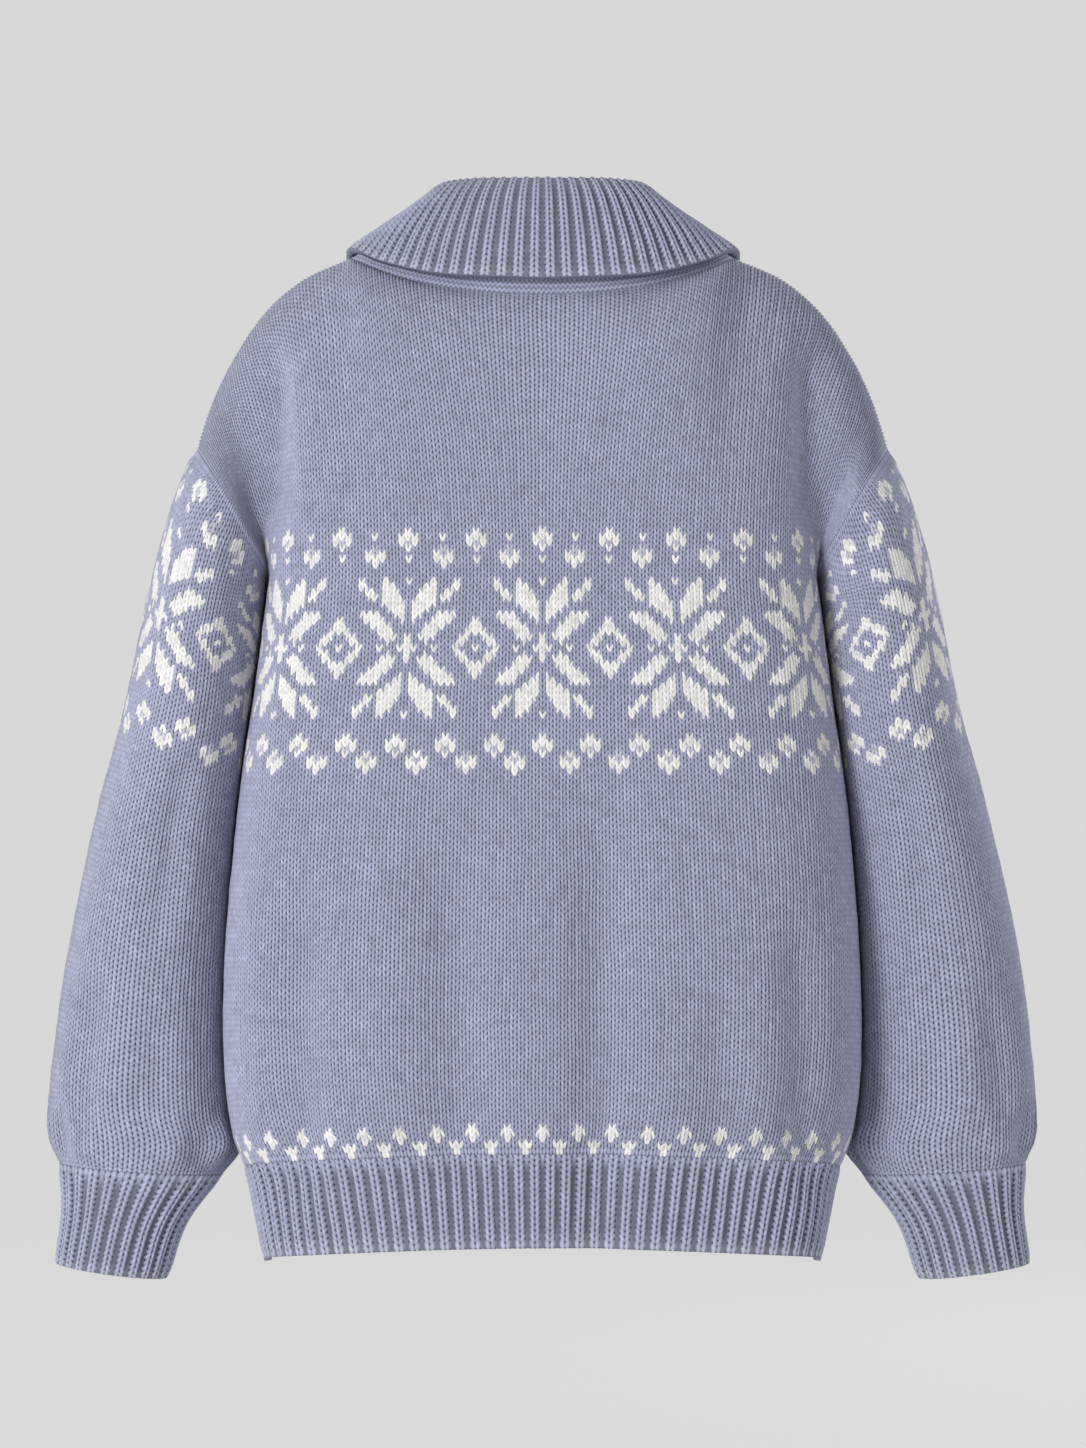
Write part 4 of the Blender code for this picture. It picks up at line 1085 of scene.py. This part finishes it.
def woven(name, colour):
    """A close twill ribbon."""
    look, put = begun_look(name, TAPE_FINISH)
    place = put("TexCoord", {}).outputs["Object"]
    values = {"Vector": place, "Scale": WEAVE_FINE, "Distortion": WEAVE_UNEVEN}
    weave = put("TexWave", values, wave_type="BANDS", bands_direction="DIAGONAL").outputs["Fac"]
    colour = two_toned(put, weave, colour, WEAVE_TONES)
    bump = put("Bump", {**WEAVE_RELIEF, "Height": weave})
    put("Principled BSDF", {"Base Color": colour, "Normal": bump.outputs["Normal"]})
    return look


tape_look = woven("tape_weave", TAPE_BLUE)
tape_lines, zip_out = zip_line()
for side, name in ((RIGHT, "zip_tape_right"), (LEFT, "zip_tape_left")):
    face = tape_lines * [side, 1, 1] - zip_out[:, None] * TAPE_GAP
    if side == LEFT:
        face = face[:, ::-1]
    inner = face - zip_out[:, None] * TAPE_WALL
    up, across = np.arange(len(face)), np.arange(len(TAPE_ACROSS))
    looks = [tape_look, tape_look]
    piece = shell(name + "_cloth", face, inner, (1, 1), -1, across / 4, up, 0.0, looks)
    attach(piece, "cardigan")
    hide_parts(name)

# Teeth: a row of cast metal teeth clamped to each tape, which mesh in the middle. They run
# from the box at the foot to the slider at the neck.
TOOTH_PITCH = 0.0025
TOOTH_REACH = 0.0030
TOOTH_PAST = 0.0006
TOOTH_HALF_HEIGHT = 0.00075
TOOTH_HALF_DEPTH = 0.0012
TOOTH_OUTLINE = [(1.0, 0.5), (0.8, 1.0), (0.1, 1.0), (-0.1, 0.6)]
TOOTH_RINGS = [(-1, 0.72), (-0.6, 1.0), (0.6, 1.0), (1, 0.72)]
BOX_HEIGHT = 0.0110
ABOVE_BOX = 0.0012
SLIDER_BELOW_END = 0.0125
BELOW_SLIDER = 0.0016
UP_STEP = 0.001
NICKEL = (0.50, 0.50, 0.52)
NICKEL_TONES = (0.8, 1.1)
NICKEL_ROUGH = (0.34, 0.54)
METAL_CLOUDS, METAL_DETAIL, METAL_RELIEF = 600.0, 4.0, 0.00005


def metal(name, colour, tones, rough):
    """Satin cast metal, a little cloudy, with a fine uneven grain."""
    look, put = begun_look(name, {"Metallic": 1.0})
    place = put("TexCoord", {}).outputs["Object"]
    values = {"Vector": place, "Scale": METAL_CLOUDS, "Detail": METAL_DETAIL}
    cloud = put("TexNoise", values).outputs["Fac"]
    colour = two_toned(put, cloud, colour, tones)
    spread = put("MapRange", {"Value": cloud, "To Min": rough[0], "To Max": rough[1]})
    bump = put("Bump", {"Distance": METAL_RELIEF, "Height": cloud})
    values = {"Base Color": colour, "Roughness": spread.outputs["Result"]}
    put("Principled BSDF", {**values, "Normal": bump.outputs["Normal"]})
    return look


nickel = metal("satin_nickel", NICKEL, NICKEL_TONES, NICKEL_ROUGH)
zip_middle = tape_lines[:, 0] * [0, 1, 1] - zip_out * (TAPE_GAP + TAPE_WALL / 2)
zip_run = length_along(zip_middle)


def tooth(side):
    """One tooth about the zip's middle line: x across, y out of the cloth, z up the zip."""
    half = np.array(TOOTH_OUTLINE)
    profile = np.concatenate([half, half[::-1] * [1, -1]])
    x = (profile[:, 0] * (TOOTH_REACH + TOOTH_PAST) - TOOTH_PAST) * side
    y = profile[:, 1] * TOOTH_HALF_DEPTH
    middle = x.mean()
    rings = []
    for height, size in TOOTH_RINGS:
        z = np.full(len(x), height * TOOTH_HALF_HEIGHT)
        rings.append(np.stack([middle + (x - middle) * size, y * size, z], 1))
    return np.concatenate(rings)


points, faces = [], []
start, end = BOX_HEIGHT + ABOVE_BOX, zip_run[-1] - SLIDER_BELOW_END - BELOW_SLIDER
for number in range(int((end - start) / (TOOTH_PITCH / 2))):
    side = RIGHT if number % 2 else LEFT
    at = start + number * TOOTH_PITCH / 2
    here, above = read_off(zip_middle, zip_run, [at, at + UP_STEP])
    out, up = unit(read_off(zip_out, zip_run, [at])[0]), unit(above - here)
    shape = tooth(side)
    number = len(points) + np.arange(len(shape)).reshape(len(TOOTH_RINGS), -1)
    points += (here + shape @ np.array([[1, 0, 0], out, up])).tolist()
    cells = quads(np.hstack([number, number[:, :1]])).reshape(-1, 4)
    faces += cells[:, ::-side].tolist()
    faces += [number[0, ::side].tolist(), number[-1, ::-side].tolist()]
mesh = bpy.data.meshes.new("zip_teeth")
mesh.from_pydata(points, [], faces)
mesh.materials.append(nickel)
teeth = placed("zip_teeth", mesh)
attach(teeth, "cardigan")
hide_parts("zip_chain")

# Box, slider and pull tab: cast pieces in the same satin finish. The box is clamped on the
# foot of one tape, and the tab hangs on an axle under the slider's bridge.
for name in ("zip_box", "zip_slider", "zip_pull"):
    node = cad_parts[name]
    node.data.materials.clear()
    node.data.materials.append(nickel)

# Studio: a plain pale floor that curves up all round, a soft light before and behind the
# cardigan, and an even light from all sides.
IMAGE_HEIGHT = 1448
NECK_ROW = 285
PIXEL = 0.00068
FAR = 4.0
MIDDLE_X = -0.0003
SENSOR = 36.0
FLOOR = -1.0
BOWL = [(0.0, 0.0), (6.0, 0.0), (7.5, 0.25), (8.6, 0.95), (9.3, 2.2), (9.6, 4.0), (9.7, 6.0)]
BOWL_RINGS, BOWL_SIDES = 60, 96
BACKDROP = (0.04, 0.04, 0.04)
BACKDROP_GLOW = 0.658
LIGHTS = {"key": (2.0, 3.3, 0.4), "front_key": (-2.0, -3.3, 0.4)}
LIGHT_SIZE, LIGHT_POWER = 1.3, 88.0
LIGHT_AIM = (0.0, 0.0, -0.32)
ALL_ROUND = 0.50
PLAIN_WHITE = (1.0, 1.0, 1.0, 1.0)


def backdrop():
    """A flat disc of floor that curves up into a wall all round."""
    table = [(number, *row) for number, row in enumerate(BOWL)]
    profile = smooth(table, np.linspace(0, len(BOWL) - 1, BOWL_RINGS))
    turn = 2 * math.pi * np.arange(BOWL_SIDES) / BOWL_SIDES
    points = [(0.0, 0.0, FLOOR)]
    for reach, height in profile[1:]:
        for angle in turn:
            points.append((reach * math.cos(angle), reach * math.sin(angle), FLOOR + height))
    number = 1 + np.arange(len(points) - 1).reshape(-1, BOWL_SIDES)
    number = np.hstack([number, number[:, :1]])
    faces = [(0, int(one), int(two)) for one, two in zip(number[0], number[0, 1:])]
    faces += quads(number)[:, :, ::-1].reshape(-1, 4).tolist()
    mesh = bpy.data.meshes.new("floor")
    mesh.from_pydata(points, [], faces)
    mesh.shade_smooth()
    finish = {"Base Color": (*BACKDROP, 1.0), "Roughness": 1.0, "Specular IOR Level": 0.0}
    finish.update({"Emission Color": PLAIN_WHITE, "Emission Strength": BACKDROP_GLOW})
    mesh.materials.append(begun_look("pale_floor", finish)[0])
    return placed("floor", mesh)


backdrop()

lens = bpy.data.cameras.new("camera")
lens.sensor_fit = "VERTICAL"
lens.sensor_height = SENSOR
lens.lens = SENSOR * FAR / (IMAGE_HEIGHT * PIXEL)
lens.clip_end = 100.0
camera = placed("camera", lens)
camera.location = (MIDDLE_X, FAR, (NECK_ROW - IMAGE_HEIGHT / 2) * PIXEL)
camera.rotation_euler = (math.pi / 2, 0.0, math.pi)
bpy.context.scene.camera = camera

for name, place in LIGHTS.items():
    lamp = bpy.data.lights.new(name, "AREA")
    lamp.shape = "DISK"
    lamp.size = LIGHT_SIZE
    lamp.energy = LIGHT_POWER
    lit = placed(name, lamp)
    lit.location = place
    aim = Vector(LIGHT_AIM) - Vector(place)
    lit.rotation_euler = aim.to_track_quat("-Z", "Y").to_euler()
world = bpy.data.worlds.new("studio")
world.use_nodes = True
air = world.node_tree.nodes["Background"]
air.inputs["Color"].default_value = PLAIN_WHITE
air.inputs["Strength"].default_value = ALL_ROUND
bpy.context.scene.world = world
bpy.context.scene.view_settings.view_transform = "Standard"
